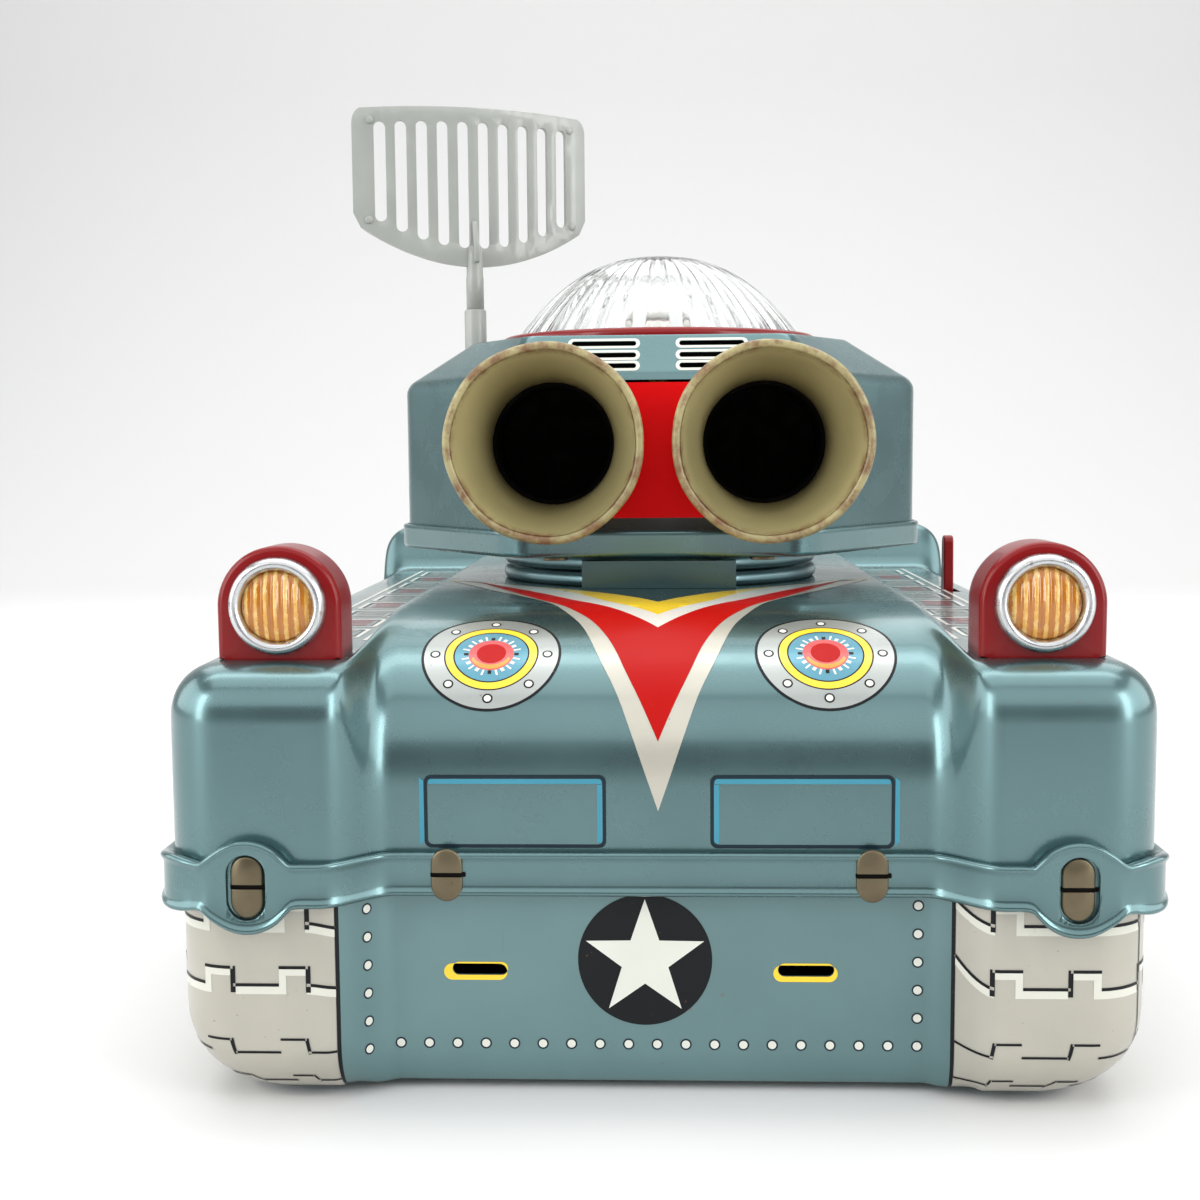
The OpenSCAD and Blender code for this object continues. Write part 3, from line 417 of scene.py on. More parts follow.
TEAL = (0.118, 0.207, 0.215)
PANEL_TEAL = (0.12, 0.22, 0.228)
M = {
    "hull": enamel("hull_enamel", TEAL, metallic=0.85, rough=0.27, coat=0.35).mat,
    "panel": enamel("panel_enamel", PANEL_TEAL, metallic=0.5, rough=0.38, drift=0.2, scratch=0.5).mat,
    "turret": enamel("turret_enamel", TEAL, metallic=0.85, rough=0.27, coat=0.35, rust=0.5).mat,
    # Two copies of one red enamel: this dark one, on the lamps, dome ring and lever, is painted shade; the
    # nose panel's bright one is painted light.
    "red": enamel("red_enamel", (0.21, 0.0006, 0.002), coat=0.2, drift=0.18, rust=0.3, shine=0.25).mat,
    "red_panel_lit": enamel("panel_red_lit", (0.80, 0.0, 0.002), rough=0.35, coat=0.02, drift=0.18, rust=0.3,
                        shine=0.1).mat,
    "ring": enamel("turntable_enamel", (0.16, 0.27, 0.29), metallic=0.8, rough=0.35, coat=0.4,
                   rust=0.5).mat,
    "tin": bare_metal("bare_tinplate", (0.55, 0.55, 0.53), 0.35),
    "tab": bare_metal("aged_tabs", (0.17, 0.14, 0.09), 0.42, stain=0.6),
    "steel": bare_metal("turned_steel", (0.50, 0.50, 0.51), 0.28, (1800, 40, 40)),
    "brass": bare_metal("stamped_brass", (0.62, 0.42, 0.14), 0.3, (900, 900, 60)),
    "bezel": bare_metal("bezel_aluminium", (0.62, 0.63, 0.64), 0.3, (600, 60, 600), stain=0.3),
    "motor": bare_metal("motor_case_zinc", (0.45, 0.47, 0.50), 0.35, (60, 60, 1500)),
    # Near-black used as painted shade in the nozzle throats and the lugs' slits; the CAD's dark pieces take
    # it too.
    "black": moulded("shade_black", (0.003, 0.0025, 0.002), 0.8, Specular_IOR_Level=0.1),
    "rubber": moulded("tyre_rubber", (0.03, 0.03, 0.032), 0.75),
    "hub": moulded("hub_plastic", (0.09, 0.09, 0.10), 0.5),
    "fibre": moulded("clutch_fibre", (0.18, 0.09, 0.04), 0.8),
    "cell": moulded("cell_jacket", (0.03, 0.06, 0.08), 0.35, Coat_Weight=0.5),
    "radar": moulded("radar_plastic", (0.33, 0.345, 0.32), 0.36, Coat_Weight=0.3),
    "ink_cream": print_ink("ink_cream", (0.50, 0.48, 0.41), 0.3),
    "ink_white": print_ink("ink_white", (0.69, 0.70, 0.63)),
    "ink_red": print_ink("ink_red", (0.42, 0.003, 0.002), rough=0.35, coat=0.0, shine=0.12),
    "ink_yellow": print_ink("ink_yellow", (0.86, 0.60, 0.02)),
    "ink_black": print_ink("ink_black", (0.006, 0.007, 0.009), coat=0, shine=0.2),
    "ink_line": print_ink("ink_line", (0.010, 0.022, 0.032), coat=0, shine=0.2),
    "ink_blue": print_ink("ink_blue", (0.04, 0.27, 0.38), 0.3),
    "ink_dial": print_ink("ink_dial_blue", (0.07, 0.25, 0.33), 0.3),
    "ink_silver": print_ink("ink_silver", (0.37, 0.395, 0.38), 0.6, 0.3),
    "ink_orange": print_ink("ink_orange", (0.80, 0.26, 0.01)),
    "ink_track": print_ink("ink_track_grey", (0.45, 0.43, 0.37), 0.3, 0.36, fade=0.25),
    "ink_rose": print_ink("ink_rose", (0.62, 0.05, 0.05)),
    "ink_cream_track": print_ink("ink_cream_track", (0.66, 0.66, 0.58), 0.1),
}


def nozzle_paint():
    """Khaki-cream enamel that is rusted round the mouth's rim, with painted shade deeper inside the horn."""
    p = enamel("nozzle_enamel", (0.38, 0.33, 0.155), rough=0.42, coat=0.2, drift=0.4, rust=0.5, scratch=0.4)
    axis = p.node("ShaderNodeSeparateXYZ")
    p.link(p.coords, axis.inputs[0])
    mouth = box_mm("nozzle_left")[0][1] * MM
    rim = p.window(axis.outputs[1], mouth + 0.0004, mouth + 0.0022, 1, 0)
    patchy = p.window(p.noise(240, 4, 0.7), 0.42, 0.62)
    p.layer(p.times(p.times(rim, patchy), 0.85), RUST)
    # Painted shade: the horn's inner wall darkens towards the throat.
    deep_shade = p.window(axis.outputs[1], mouth + 0.012, mouth + 0.026, 0, 0.55)
    p.layer(p.times(deep_shade, p.window(p.noise(90, 4), 0.3, 0.7, 0.6, 1)), (0.09, 0.075, 0.04))
    return p.mat


def amber_paint():
    """Speckled translucent amber plastic."""
    p = Paint("amber_lens", (0.55, 0.19, 0.006), Roughness=0.18, Coat_Weight=0.8, Transmission_Weight=0.15)
    p.layer(p.window(p.noise(500, 3, 0.7), 0.4, 0.7, 0, 0.7), (0.45, 0.14, 0.01))
    p.bump(p.noise(700, 3), 0.02)
    return p.mat


def cream_rib_paint():
    """The pale, speckled crowns of the lens ribs."""
    p = Paint("lens_cream", (0.66, 0.34, 0.05), Roughness=0.25, Coat_Weight=0.6)
    p.layer(p.window(p.noise(420, 4, 0.7), 0.42, 0.62), (0.80, 0.56, 0.20))
    p.bump(p.noise(900, 3), 0.02)
    return p.mat


def clear_paint(name, tint, ior=1.49):
    """Clear plastic or glass."""
    p = Paint(name, tint, Transmission_Weight=1.0, IOR=ior, Coat_Weight=0.3)
    p.roughness(p.window(p.noise(60, 4), 0.3, 0.7, 0.02, 0.07))
    p.bump(p.noise(300, 2), 0.01, 0.3)
    return p.mat


def floor_paint():
    """Plain pale paper."""
    p = Paint("floor_paper", (0.70, 0.70, 0.695))
    p.roughness(p.window(p.noise(4, 2), 0.3, 0.7, 0.8, 0.9))
    return p.mat


M["nozzle"] = nozzle_paint()
M["amber"] = amber_paint()
M["lens_cream"] = cream_rib_paint()
M["dome"] = clear_paint("dome_clear", (0.97, 0.98, 0.98))
M["bulb"] = clear_paint("bulb_glass", (1.0, 0.97, 0.88), 1.5)
M["orange"] = enamel("window_orange", (0.62, 0.10, 0.01), rough=0.25, coat=0.8, rust=0.2, scratch=0.2).mat
M["floor"] = floor_paint()


# ---------------------------------------------------------------- hull surface, as formulas in millimetres
def spine(x):
    """1 on the raised bonnet, 0 on the fenders."""
    return smooth((HOOD_HALF_W - np.abs(x)) / HOOD_SLOPE_W + 0.46)


def nose_y(x):
    """The front wall: at the fenders' ends, and set back between them."""
    return -HALF_L + NOSE_RECESS * smooth((NOSE_BEND_X - np.abs(x)) / NOSE_BEND_W)


def deck_step(y):
    """0 before the raised rear deck, 1 on it."""
    return smooth((y - DECK_Y) / DECK_RUN)


def top_z(x, y):
    """Height of the upper pressing's top."""
    return FENDER_Z + np.maximum((HOOD_Z - FENDER_Z) * spine(x), (DECK_Z - FENDER_Z) * deck_step(y))


STRAIGHT_X = HALF_W - CORNER_R
STRAIGHT_Y = HALF_L - CORNER_R
FRONT_XS = linspaces((-STRAIGHT_X, -53, 8), (-53, -42, 26), (-42, 42, 40), (42, 53, 26),
                     (53, STRAIGHT_X, 8))
SIDE_YS = linspaces((-STRAIGHT_Y, 74, 60), (74, 92, 24), (92, STRAIGHT_Y, 6))
ARC = 8


def corner_arc(sx, sy, a0, a1):
    """Stations (x, y, inward x, inward y) round half a corner, both ends included."""
    return [(sx * STRAIGHT_X + CORNER_R * math.cos(a), sy * STRAIGHT_Y + CORNER_R * math.sin(a),
             -math.cos(a), -math.sin(a)) for a in np.radians(np.linspace(a0, a1, ARC + 1))]


def hull_edges():
    """Stations along the front, right, rear and left edges, from corner middle to corner middle."""
    front = corner_arc(-1, -1, 225, 270)[:-1] + [(x, float(nose_y(x)), 0, 1) for x in FRONT_XS]
    front += corner_arc(1, -1, 270, 315)[1:]
    right = corner_arc(1, -1, 315, 360)[:-1] + [(HALF_W, y, -1, 0) for y in SIDE_YS]
    right += corner_arc(1, 1, 0, 45)[1:]
    rear = corner_arc(-1, 1, 135, 90)[:-1] + [(x, HALF_L, 0, -1) for x in FRONT_XS]
    rear += corner_arc(1, 1, 90, 45)[1:]
    left = corner_arc(-1, -1, 225, 180)[:-1] + [(-HALF_W, y, 1, 0) for y in SIDE_YS]
    left += corner_arc(-1, 1, 180, 135)[1:]
    return [np.array(e) for e in (front, right, rear, left)]


EDGES = hull_edges()
AROUND = np.concatenate([EDGES[0][:-1], EDGES[1][:-1], EDGES[2][::-1][:-1], EDGES[3][::-1][:-1]])


def is_front(s):
    return s[:, 3] > 0.999


def edge_z(s):
    """Height of the top that each station's shoulder reaches."""
    front, side = top_z(s[:, 0], np.full(len(s), -HALF_L)), top_z(np.full(len(s), HALF_W), s[:, 1])
    return np.where(is_front(s), front, side)


def shoulder(s, bonnet):
    """A shoulder's reach: one radius, and on the bonnet's crown the value given."""
    return np.where(is_front(s), mix(SHOULDER_R, bonnet, spine(s[:, 0])), SHOULDER_R)


def upper_ring(s, a):
    """The upper pressing's rounded shoulder at angle a: 0 on the wall, 90 degrees on top."""
    inset = shoulder(s, BONNET_IN) * (1 - np.cos(a) ** ROUND_POWER)
    z = edge_z(s) - shoulder(s, BONNET_DOWN) * (1 - np.sin(a) ** ROUND_POWER)
    return np.stack([s[:, 0] + s[:, 2] * inset, s[:, 1] + s[:, 3] * inset, z], 1)


def end_curve(s):
    """How far the curve under an end wall runs in, and how high up the wall it starts."""
    nose = np.where(is_front(s), smooth((BELLY_BEND_X - np.abs(s[:, 0])) / BELLY_BEND_W), 0)
    return mix(BELLY_END_IN, BELLY_NOSE_IN, nose), mix(BELLY_END_RISE, BELLY_NOSE_RISE, nose)


def belly_rise(s):
    """How high up the wall the belly's curve starts."""
    return mix(end_curve(s)[1], BELLY_SIDE_RISE, np.abs(s[:, 2]))


def belly_ring(s, a):
    """The lower pressing's rounded belly edge at angle a: 0 on the wall, 90 degrees on the floor."""
    c = 1 - np.cos(a)
    fade_x = np.clip((np.abs(s[:, 0]) - BELLY_BEND_X) / (STRAIGHT_X - BELLY_BEND_X), 0, 1)
    fade_y = np.clip(np.abs(s[:, 1]) / STRAIGHT_Y, 0, 1)
    x = s[:, 0] - np.sign(s[:, 0]) * (BELLY_IN + BELLY_SIDE_IN * c) * fade_x
    y = s[:, 1] - np.sign(s[:, 1]) * (BELLY_END + end_curve(s)[0] * c) * fade_y
    return np.stack([x, y, BELLY_Z + belly_rise(s) * (1 - np.sin(a))], 1)


def level_ring(s, out, z):
    """The outline moved outward, at one height."""
    return np.stack([s[:, 0] - s[:, 2] * out, s[:, 1] - s[:, 3] * out, np.full(len(s), float(z))], 1)


def coons(front, right, rear, left):
    """Fills four edge curves of (x, y) points with a grid."""
    u = (rear[:, 0] - rear[0, 0]) / (rear[-1, 0] - rear[0, 0])
    v = (right[:, 1] - right[0, 1]) / (right[-1, 1] - right[0, 1])
    u, v = u[None, :, None], v[:, None, None]
    sides = (1 - v) * front[None] + v * rear[None] + (1 - u) * left[:, None] + u * right[:, None]
    corners = ((1 - u) * (1 - v) * front[0] + u * (1 - v) * front[-1] + (1 - u) * v * rear[0]
               + u * v * rear[-1])
    return sides - corners


def pressing(name, rings, edge_rings, height, paint):
    """A pressing: rings round the wall and shoulder, then a grid over the face that they enclose."""
    face = coons(*[e[:, :2] for e in edge_rings])
    z = height(face[:, :, 0], face[:, :, 1])
    grid = np.concatenate([face, z[:, :, None]], 2).reshape(-1, 3)
    verts = np.concatenate([np.concatenate(rings), grid])
    faces = grid_faces(len(rings), len(AROUND), False, True)
    faces += grid_faces(face.shape[0], face.shape[1], offset=len(rings) * len(AROUND))
    return add_mesh(name, verts, faces, paint, "hull")


STEPS = np.radians(np.linspace(0, 90, 17))


def make_upper_shell():
    rings = [level_ring(AROUND, 0, z) for z in np.linspace(SEAM_Z - 0.1, 48, 4)[:-1]]
    rings += [upper_ring(AROUND, a) for a in STEPS]
    edge_rings = [upper_ring(e, math.pi / 2) for e in EDGES]
    shell = pressing("upper_shell_skin", rings, edge_rings, top_z, M["hull"])
    thicken(shell)
    x, y, _ = middle_mm("switch_lever")
    slot = block("slot", (x - 1.9, y - 7, FENDER_Z - 4), (x + 1.9, y + 7, FENDER_Z + 4))
    hole = rod("hole", (0, PIVOT_Y, HOOD_Z - 5), (0, PIVOT_Y, HOOD_Z + 5), 10)
    cut(shell, [slot, hole])
    crease(shell, 40)
    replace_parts(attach(shell, "hull"), "upper_shell")


def make_lower_shell():
    rings = []
    for z in np.linspace(SEAM_Z - 0.4, BELLY_Z + 21, 5):
        ring = belly_ring(AROUND, 0)
        ring[:, 2] = z
        rings.append(ring)
    rings += [belly_ring(AROUND, a) for a in STEPS]
    edge_rings = [belly_ring(e, math.pi / 2) for e in EDGES]
    shell = pressing("lower_shell_skin", rings, edge_rings, lambda x, y: np.full(x.shape, BELLY_Z),
                     [M["panel"], M["ink_track"]])
    for poly in shell.data.polygons:
        x, y, z = poly.center / MM
        centre = PRINT_DX if y < 0 else 0
        poly.material_index = int(z > BELLY_Z + 0.2 and not (abs(x - centre) < TRACK_X and abs(y) > 90))
    thicken(shell)
    door_low, door_high = box_mm("battery_door")
    wheel_low, wheel_high = box_mm("rear_wheels")
    cutters = [
        rod("hole", (0, CARRIAGE_Y, BELLY_Z - 3), (0, CARRIAGE_Y, BELLY_Z + 3), CARRIAGE_HOLE_R,
            segments=128),
        block("door", (door_low[0] - 0.8, door_low[1] - 0.8, BELLY_Z - 3),
              (door_high[0] + 0.8, door_high[1] + 0.6, BELLY_Z + 3)),
    ]
    for side in (-1, 1):
        xs = sorted((side * (wheel_high[0] - 7.6), side * (wheel_high[0] + 1.4)))
        cutters.append(block("wheel", (xs[0], wheel_low[1], BELLY_Z - 3),
                             (xs[1], wheel_high[1], BELLY_Z + 4)))
        cutters.append(stadium_block(PRINT_DX_SLOTS + side * SLOT_X, SLOT_Z, 4.45, 1.05,
                                     NOSE_Y - 6, NOSE_Y + 8))
    cut(shell, cutters)
    crease(shell, 40)
    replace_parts(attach(shell, "hull"), "lower_shell")


def stadium(cx, cy, half, radius, steps=10):
    """A stadium outline whose half length along x is half."""
    right = arc(cx + half - radius, cy, radius, -math.pi / 2, math.pi / 2, steps)
    return right + arc(cx - half + radius, cy, -radius, -math.pi / 2, math.pi / 2, steps)


def stadium_block(cx, cz, half, radius, y0, y1):
    """A cutter along Y with a stadium section."""
    rings = [[(x, y, z) for x, z in stadium(cx, cz, half, radius)] for y in (y0, y1)]
    return loft("stadium", rings, [], None, cap_ends=True)


# ---------------------------------------------------------------- belt band, bosses and lugs
BOSS_X = 63.3
BOSS_R = 7.4
BAND_HALF = 3.55
BOSS_BLEND = 1.6
# The band's section: how far out, how far from the edge, and which edge; None is the middle line.
BAND_EDGE = [(0.05, 0.5), (0.6, 0.12), (1.1, 0.0), (1.6, 0.08), (1.95, 0.35), (2.0, 0.65), (1.85, 0.95),
             (1.6, 1.3), (1.5, 1.8)]
BAND_SECTION = ([(out, edge, -1) for out, edge in BAND_EDGE] + [(1.5, None, 1)]
                + [(out, edge, 1) for out, edge in reversed(BAND_EDGE)] + [(0.05, None, 1)])


def band_stations():
    """Stations round the hull at a fine, even pitch, each with its distance along x from the nearest boss."""
    around = np.concatenate([AROUND, AROUND[:1]])
    ts = distances_along(around[:, :2])
    fine = np.linspace(0, ts[-1], 1150, endpoint=False)
    s = np.stack([np.interp(fine, ts, around[:, k]) for k in range(4)], 1)
    along = np.hypot(np.abs(s[:, 0]) - BOSS_X, np.abs(s[:, 1]) - HALF_L)
    return s, np.where(np.abs(s[:, 1]) > STRAIGHT_Y, along, 99.0)


def make_band():
    s, along = band_stations()
    disc = np.sqrt(np.maximum(0, BOSS_R ** 2 - along ** 2))
    half = np.log(np.exp(BAND_HALF * BOSS_BLEND) + np.exp(disc * BOSS_BLEND)) / BOSS_BLEND
    half = np.maximum(half - math.log(2) / BOSS_BLEND * np.exp(-np.abs(disc - BAND_HALF)) * 0.4, BAND_HALF)
    corner = np.abs(s[:, 2] * s[:, 3]) * 2
    half = half + 0.9 * corner ** 2
    proud = 0.9 * smooth((BOSS_R + 1.2 - along) / 3.5)
    rings = []
    for out, edge, side in BAND_SECTION:
        reach = out + (proud + 0.7 * corner ** 2) * (out > 0.5)
        dz = np.zeros(len(s)) if edge is None else side * (half - edge)
        rings.append(np.stack([s[:, 0] - s[:, 2] * reach, s[:, 1] - s[:, 3] * reach, SEAM_Z + dz], 1))
    band = loft("belt_band_skin", rings, M["hull"], "hull", close_rows=True)
    cutters = []
    for end in (-1, 1):
        for side in (-1, 1):
            outline = [(side * BOSS_X + px, pz) for pz, px in stadium(0, 0, 5.15, 3.05, 16)]
            recess = [[(x, end * (HALF_L + d), SEAM_Z + z) for x, z in outline] for d in (1.3, 5.0)]
            cutters.append(loft("recess", recess, [], None, cap_ends=True))
    cut(band, cutters)
    soften(band, 0.3, 2, 55)
    crease(band, 50)
    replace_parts(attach(band, "hull"), "belt_band")


def lug(up, reach):
    """One bent lug in its own frame: x across, y outward, z up from the slit."""
    half = 2.5
    side = [(half, 0.34), (half, 0.9), (half, 1.6)]
    outline = side + arc(0, reach - half, half, 0, math.pi, 20) + [(-x, z) for x, z in reversed(side)]
    return [[(x * (1 - shrink / half), y + 0.15 * math.cos(x * 0.9), up * (z - shrink * (z > 1)))
             for x, z in outline] for y, shrink in ((0.0, 0), (0.45, 0), (0.7, 0.3))]


LUG_X = 33.4
LUG_REACH, BOSS_LUG_REACH = 4.2, 4.85


def make_lugs():
    places = []
    for side in (-1, 1):
        for end in (-1, 1):
            places.append(((side * BOSS_X, end * (HALF_L + 1.35), SEAM_Z), 0 if end < 0 else 180,
                           BOSS_LUG_REACH))
        places.append(((side * LUG_X, NOSE_Y - 1.5, SEAM_Z), 0, LUG_REACH))
        places.append(((side * LUG_X, HALF_L + 1.5, SEAM_Z), 180, LUG_REACH))
        places += [((side * (HALF_W + 1.5), y, SEAM_Z), side * 90, LUG_REACH) for y in (-70, 0, 70)]
    paints = [M["tab"], M["black"]]
    parts = []
    for place, turn, reach in places:
        spin = Matrix.Rotation(math.radians(turn), 4, "Z")

        def put(ring):
            return [tuple(Vector(place) + spin @ Vector((x, -y, z))) for x, y, z in ring]

        for up in (-1, 1):
            rings = [put(ring) for ring in lug(up, reach)]
            parts.append(loft("lug", rings, paints, None, cap_ends=True))
        # A black sheet in the slit between the lugs: painted shade where the slit opens behind them.
        slit = [(-2.6, -0.36), (3.0, -0.36), (3.0, 0.36), (-2.6, 0.36)]
        rings = [put([(x, y, z) for x, z in slit]) for y in (0.0, 0.3)]
        dark = loft("slit", rings, paints, None, cap_ends=True)
        for poly in dark.data.polygons:
            poly.material_index = 1
        parts.append(dark)
    lugs = join("belt_lugs", parts)
    soften(lugs, 0.12, 2, 50)
    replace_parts(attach(lugs, "hull"), "belt_tabs")


# ---------------------------------------------------------------- headlamps
def tombstone_reach(theta, half_w, height, centre_z):
    """Distance from the lamp's axis to an arched outline that stands on z = 0, per angle."""
    c, s = np.cos(theta), np.sin(theta)
    arch_z = height - half_w - centre_z
    reach = arch_z * s + np.sqrt(np.maximum(0, half_w ** 2 - (arch_z * c) ** 2))
    side = half_w / np.maximum(np.abs(c), 1e-6)
    floor = np.where(s < 0, centre_z / np.maximum(-s, 1e-6), 1e9)
    below = reach * s < arch_z
    return np.minimum(np.where(below, np.minimum(side, floor), reach), floor)


def side_name(side):
    return "left" if side < 0 else "right"


def make_headlamp(side):
    name = "headlamp_housing_" + side_name(side)
    low, high = box_mm(name)
    x, front = (low[0] + high[0]) / 2, low[1]
    low[2] = FENDER_Z + 0.02
    half_w, height, length = (high[0] - low[0]) / 2, high[2] - low[2], high[1] - low[1]
    bezel_low, bezel_high = box_mm("headlamp_bezels")
    centre_z = (bezel_low[2] + bezel_high[2]) / 2 - low[2]
    hole = (bezel_high[2] - bezel_low[2]) / 2 - 1
    theta = np.linspace(0, FULL_TURN, 96, endpoint=False)

    def ring(r, y, cz):
        return np.stack([x + r * np.cos(theta), np.full(96, y), low[2] + cz + r * np.sin(theta)], 1)

    straight = 8.5
    # Depth from the front, and how far the arched outline is drawn in; None is the round hole.
    stages = [(0.9, None), (0.0, None), (0.0, 0.9), (0.12, 0.35), (0.6, 0), (2, 0), (5, 0), (straight, 0)]
    rings = []
    for depth, shrink in stages:
        r = np.full(96, hole)
        if shrink is not None:
            r = tombstone_reach(theta, half_w - shrink, height - shrink, centre_z)
        rings.append(ring(r, front + depth, centre_z))
    for t in np.linspace(0, 1, 16)[1:]:
        shape = math.sqrt(max(0.0, 1 - (t * 0.995) ** 2.2))
        w, h = half_w * shape, mix(2.0, height, shape ** 1.1)
        cz = min(centre_z, h * 0.5)
        rings.append(ring(tombstone_reach(theta, w, max(h, w), cz), front + mix(straight, length, t), cz))
    pod = loft("headlamp_pod_" + side_name(side), rings, M["red"], "hull")
    crease(pod, 50)
    thicken(pod, 0.35)
    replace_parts(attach(pod, "hull"), name)


def make_lamp_faces():
    low, high = box_mm("headlamp_bezels")
    z, r = (low[2] + high[2]) / 2, (high[2] - low[2]) / 2
    x, y = high[0] - r, box_mm("headlamp_housing_left")[0][1]
    inner = r - 2.1
    profile = [(inner, -1.0), (inner, 0.9), (inner + 0.25, 1.5), (inner + 0.7, 1.95), (inner + 1.2, 2.0),
               (inner + 1.65, 1.7), (inner + 1.95, 1.1), (r, 0.5), (r, 0.05), (inner + 0.6, 0.05),
               (inner + 0.6, -1.0)]
    rings, lenses = [], []
    for side in (-1, 1):
        line = [(rr, y - h) for rr, h in profile]
        rings.append(lathe("bezel", line, (side * x, 0, z), "y", M["bezel"], None))
        lenses.append(ribbed_lens(side * x, y, z, inner - 0.05))
    bezel = join("headlamp_bezel_rings", rings)
    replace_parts(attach(bezel, "hull"), "headlamp_bezels")
    lens = join("headlamp_ribbed_lenses", lenses)
    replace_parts(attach(lens, "hull"), "headlamp_lenses")


LENS_RIBS = 7
CROWN_SHARE = 0.19


def ribbed_lens(x, y, z, radius):
    """A crowned amber disc with upright ribs, cream on their crowns."""
    pitch = 2 * radius / LENS_RIBS
    rows, cols = 21, 12 * LENS_RIBS + 1
    verts = []
    for layer in (0, 1):
        for i in range(rows):
            for j in range(cols):
                u, v = -1 + 2 * j / (cols - 1), -1 + 2 * i / (rows - 1)
                px = u * math.sqrt(1 - v * v / 2) * radius
                pz = v * math.sqrt(1 - u * u / 2) * radius
                reach = min(1.0, math.hypot(px, pz) / radius)
                rib = 0.5 + 0.5 * math.cos(2 * math.pi * px / pitch)
                front = 0.5 + 1.0 * (1 - reach ** 2) + 0.4 * rib * (1 - reach ** 6)
                verts.append((x + px, y - (front if layer == 0 else -0.6), z + pz))
    lens = add_mesh("lens", verts, plate_faces(rows, cols), [M["amber"], M["lens_cream"]], None)
    for poly in lens.data.polygons:
        offset = (poly.center.x / MM - x) / pitch
        crown = abs(offset - round(offset)) < CROWN_SHARE
        poly.material_index = 1 if crown and poly.center.y < (y - 0.2) * MM else 0
    return lens


# ---------------------------------------------------------------- turntable
def bead_profile(r_in, r_out, z0, z1, bead):
    """A pressed disc's half section with a rounded, slightly proud rim."""
    mid = (z0 + z1) / 2
    half = (z1 - z0) / 2
    rim = arc(r_out - bead, mid, bead, -math.pi / 2, math.pi / 2, 13, ry=half)
    return [(r_in, z0)] + rim + [(r_out - 2.2, z1 - 0.25), (r_out - 4, z1 - 0.3), (r_in, z1 - 0.3)]


def make_turntable():
    low, high = box_mm("turntable_base")
    profile = bead_profile(6.2, RING_R, low[2], high[2], 1.0)
    base = lathe("turntable_base_disc", profile, PIVOT, "z", M["ring"], "hull", 160)
    crease(base, 50)
    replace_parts(base, "turntable_base")
    top_low, top_high = box_mm("turntable_top")
    profile = bead_profile(4.8, RING_R, high[2] + 0.3, top_high[2], 1.3)
    disc = lathe("turntable_top_disc", profile, PIVOT, "z", M["ring"], "turret", 160)
    foot, neck = top_low[2], high[2] + 0.5
    tube = [(4.8, foot), (9.0, foot), (9.0, foot + 0.8), (6.0, foot + 0.8), (6.0, neck), (4.8, neck)]
    stem = lathe("pivot_tube", tube, PIVOT, "z", M["tin"], "turret", 64)
    top = join("turntable_top_disc", [disc, stem])
    crease(top, 50)
    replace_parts(top, "turntable_top")


# ---------------------------------------------------------------- turret pressing
TURRET_Z = box_mm("turret_base")[0][2]
TURRET_HALF_W, TURRET_REAR, ROOF_Z = box_mm("turret_shell")[1]
TURRET_FRONT = box_mm("turret_shell")[0][1]
WALL_TOP_Z = box_mm("nozzle_bulkhead")[1][2]
# Corners of the wall's and the roof's outlines: x, y, radius.
WALL_CORNERS = [(28, TURRET_FRONT, 9), (TURRET_HALF_W, -18, 9), (TURRET_HALF_W, 25, 9), (30, TURRET_REAR, 9),
                (-30, TURRET_REAR, 9), (-TURRET_HALF_W, 25, 9), (-TURRET_HALF_W, -18, 9),
                (-28, TURRET_FRONT, 9)]
ROOF_FRONT = TURRET_FRONT + 5.9
ROOF_CORNERS = [(25, ROOF_FRONT, 5), (38.3, -27, 6), (38.3, 16, 6), (24, 27, 6),
                (-24, 27, 6), (-38.3, 16, 6), (-38.3, -27, 6), (-25, ROOF_FRONT, 5)]
# From the wall to the roof: share of the way in, share of the way up. The flat slope starts at SLOPE_START.
SLOPE_START = (0.14, 0.29)
SHOULDER = [(0, 0), (0.004, 0.06), (0.02, 0.12), (0.042, 0.17), (0.07, 0.22), (0.10, 0.255), SLOPE_START,
            (0.21, 0.345), (0.3, 0.42), (0.45, 0.545), (0.6, 0.67), (0.75, 0.795), (0.88, 0.905),
            (0.95, 0.965), (0.985, 0.992), (1, 1)]
DOME_R = (box_mm("dome")[1][0] - box_mm("dome")[0][0]) / 2
DOME_HOLE_R = DOME_R - 3
MAST_X, MAST_Y = middle_mm("radar_socket")[:2]
CORNER_STEPS = 10
STRAIGHT_STEPS = 14


def unit(v):
    return v / np.linalg.norm(v)


def outline_stations(corners):
    """Stations (x, y, inward x, inward y) round a convex outline, with points along its straights too."""
    corner_runs = []
    for i, q in enumerate(corners):
        p, s = corners[i - 1], corners[(i + 1) % len(corners)]
        d1, d2 = unit(np.subtract(q[:2], p[:2])), unit(np.subtract(s[:2], q[:2]))
        turn, a1 = math.acos(float(d1 @ d2)), math.atan2(d1[1], d1[0])
        back = q[2] * math.tan(turn / 2)
        centre = np.array(q[:2]) - d1 * back + q[2] * np.array([-d1[1], d1[0]])
        angles = np.linspace(a1 - math.pi / 2, a1 - math.pi / 2 + turn, CORNER_STEPS + 1)
        corner_runs.append([(centre[0] + q[2] * math.cos(a), centre[1] + q[2] * math.sin(a),
                             -math.cos(a), -math.sin(a)) for a in angles])
    stations = []
    for i, run in enumerate(corner_runs):
        stations += run
        last, after = np.array(run[-1]), np.array(corner_runs[(i + 1) % len(corners)][0])
        stations += [tuple(mix(last, after, t)) for t in np.linspace(0, 1, STRAIGHT_STEPS + 1)[1:-1]]
    return np.array(stations)


WALL = outline_stations(WALL_CORNERS)
ROOF = outline_stations(ROOF_CORNERS)


def nozzle_spot():
    """How far the nozzles' axes lie from the middle, and how high."""
    x, _, z = middle_mm("nozzle_right")
    return x, z


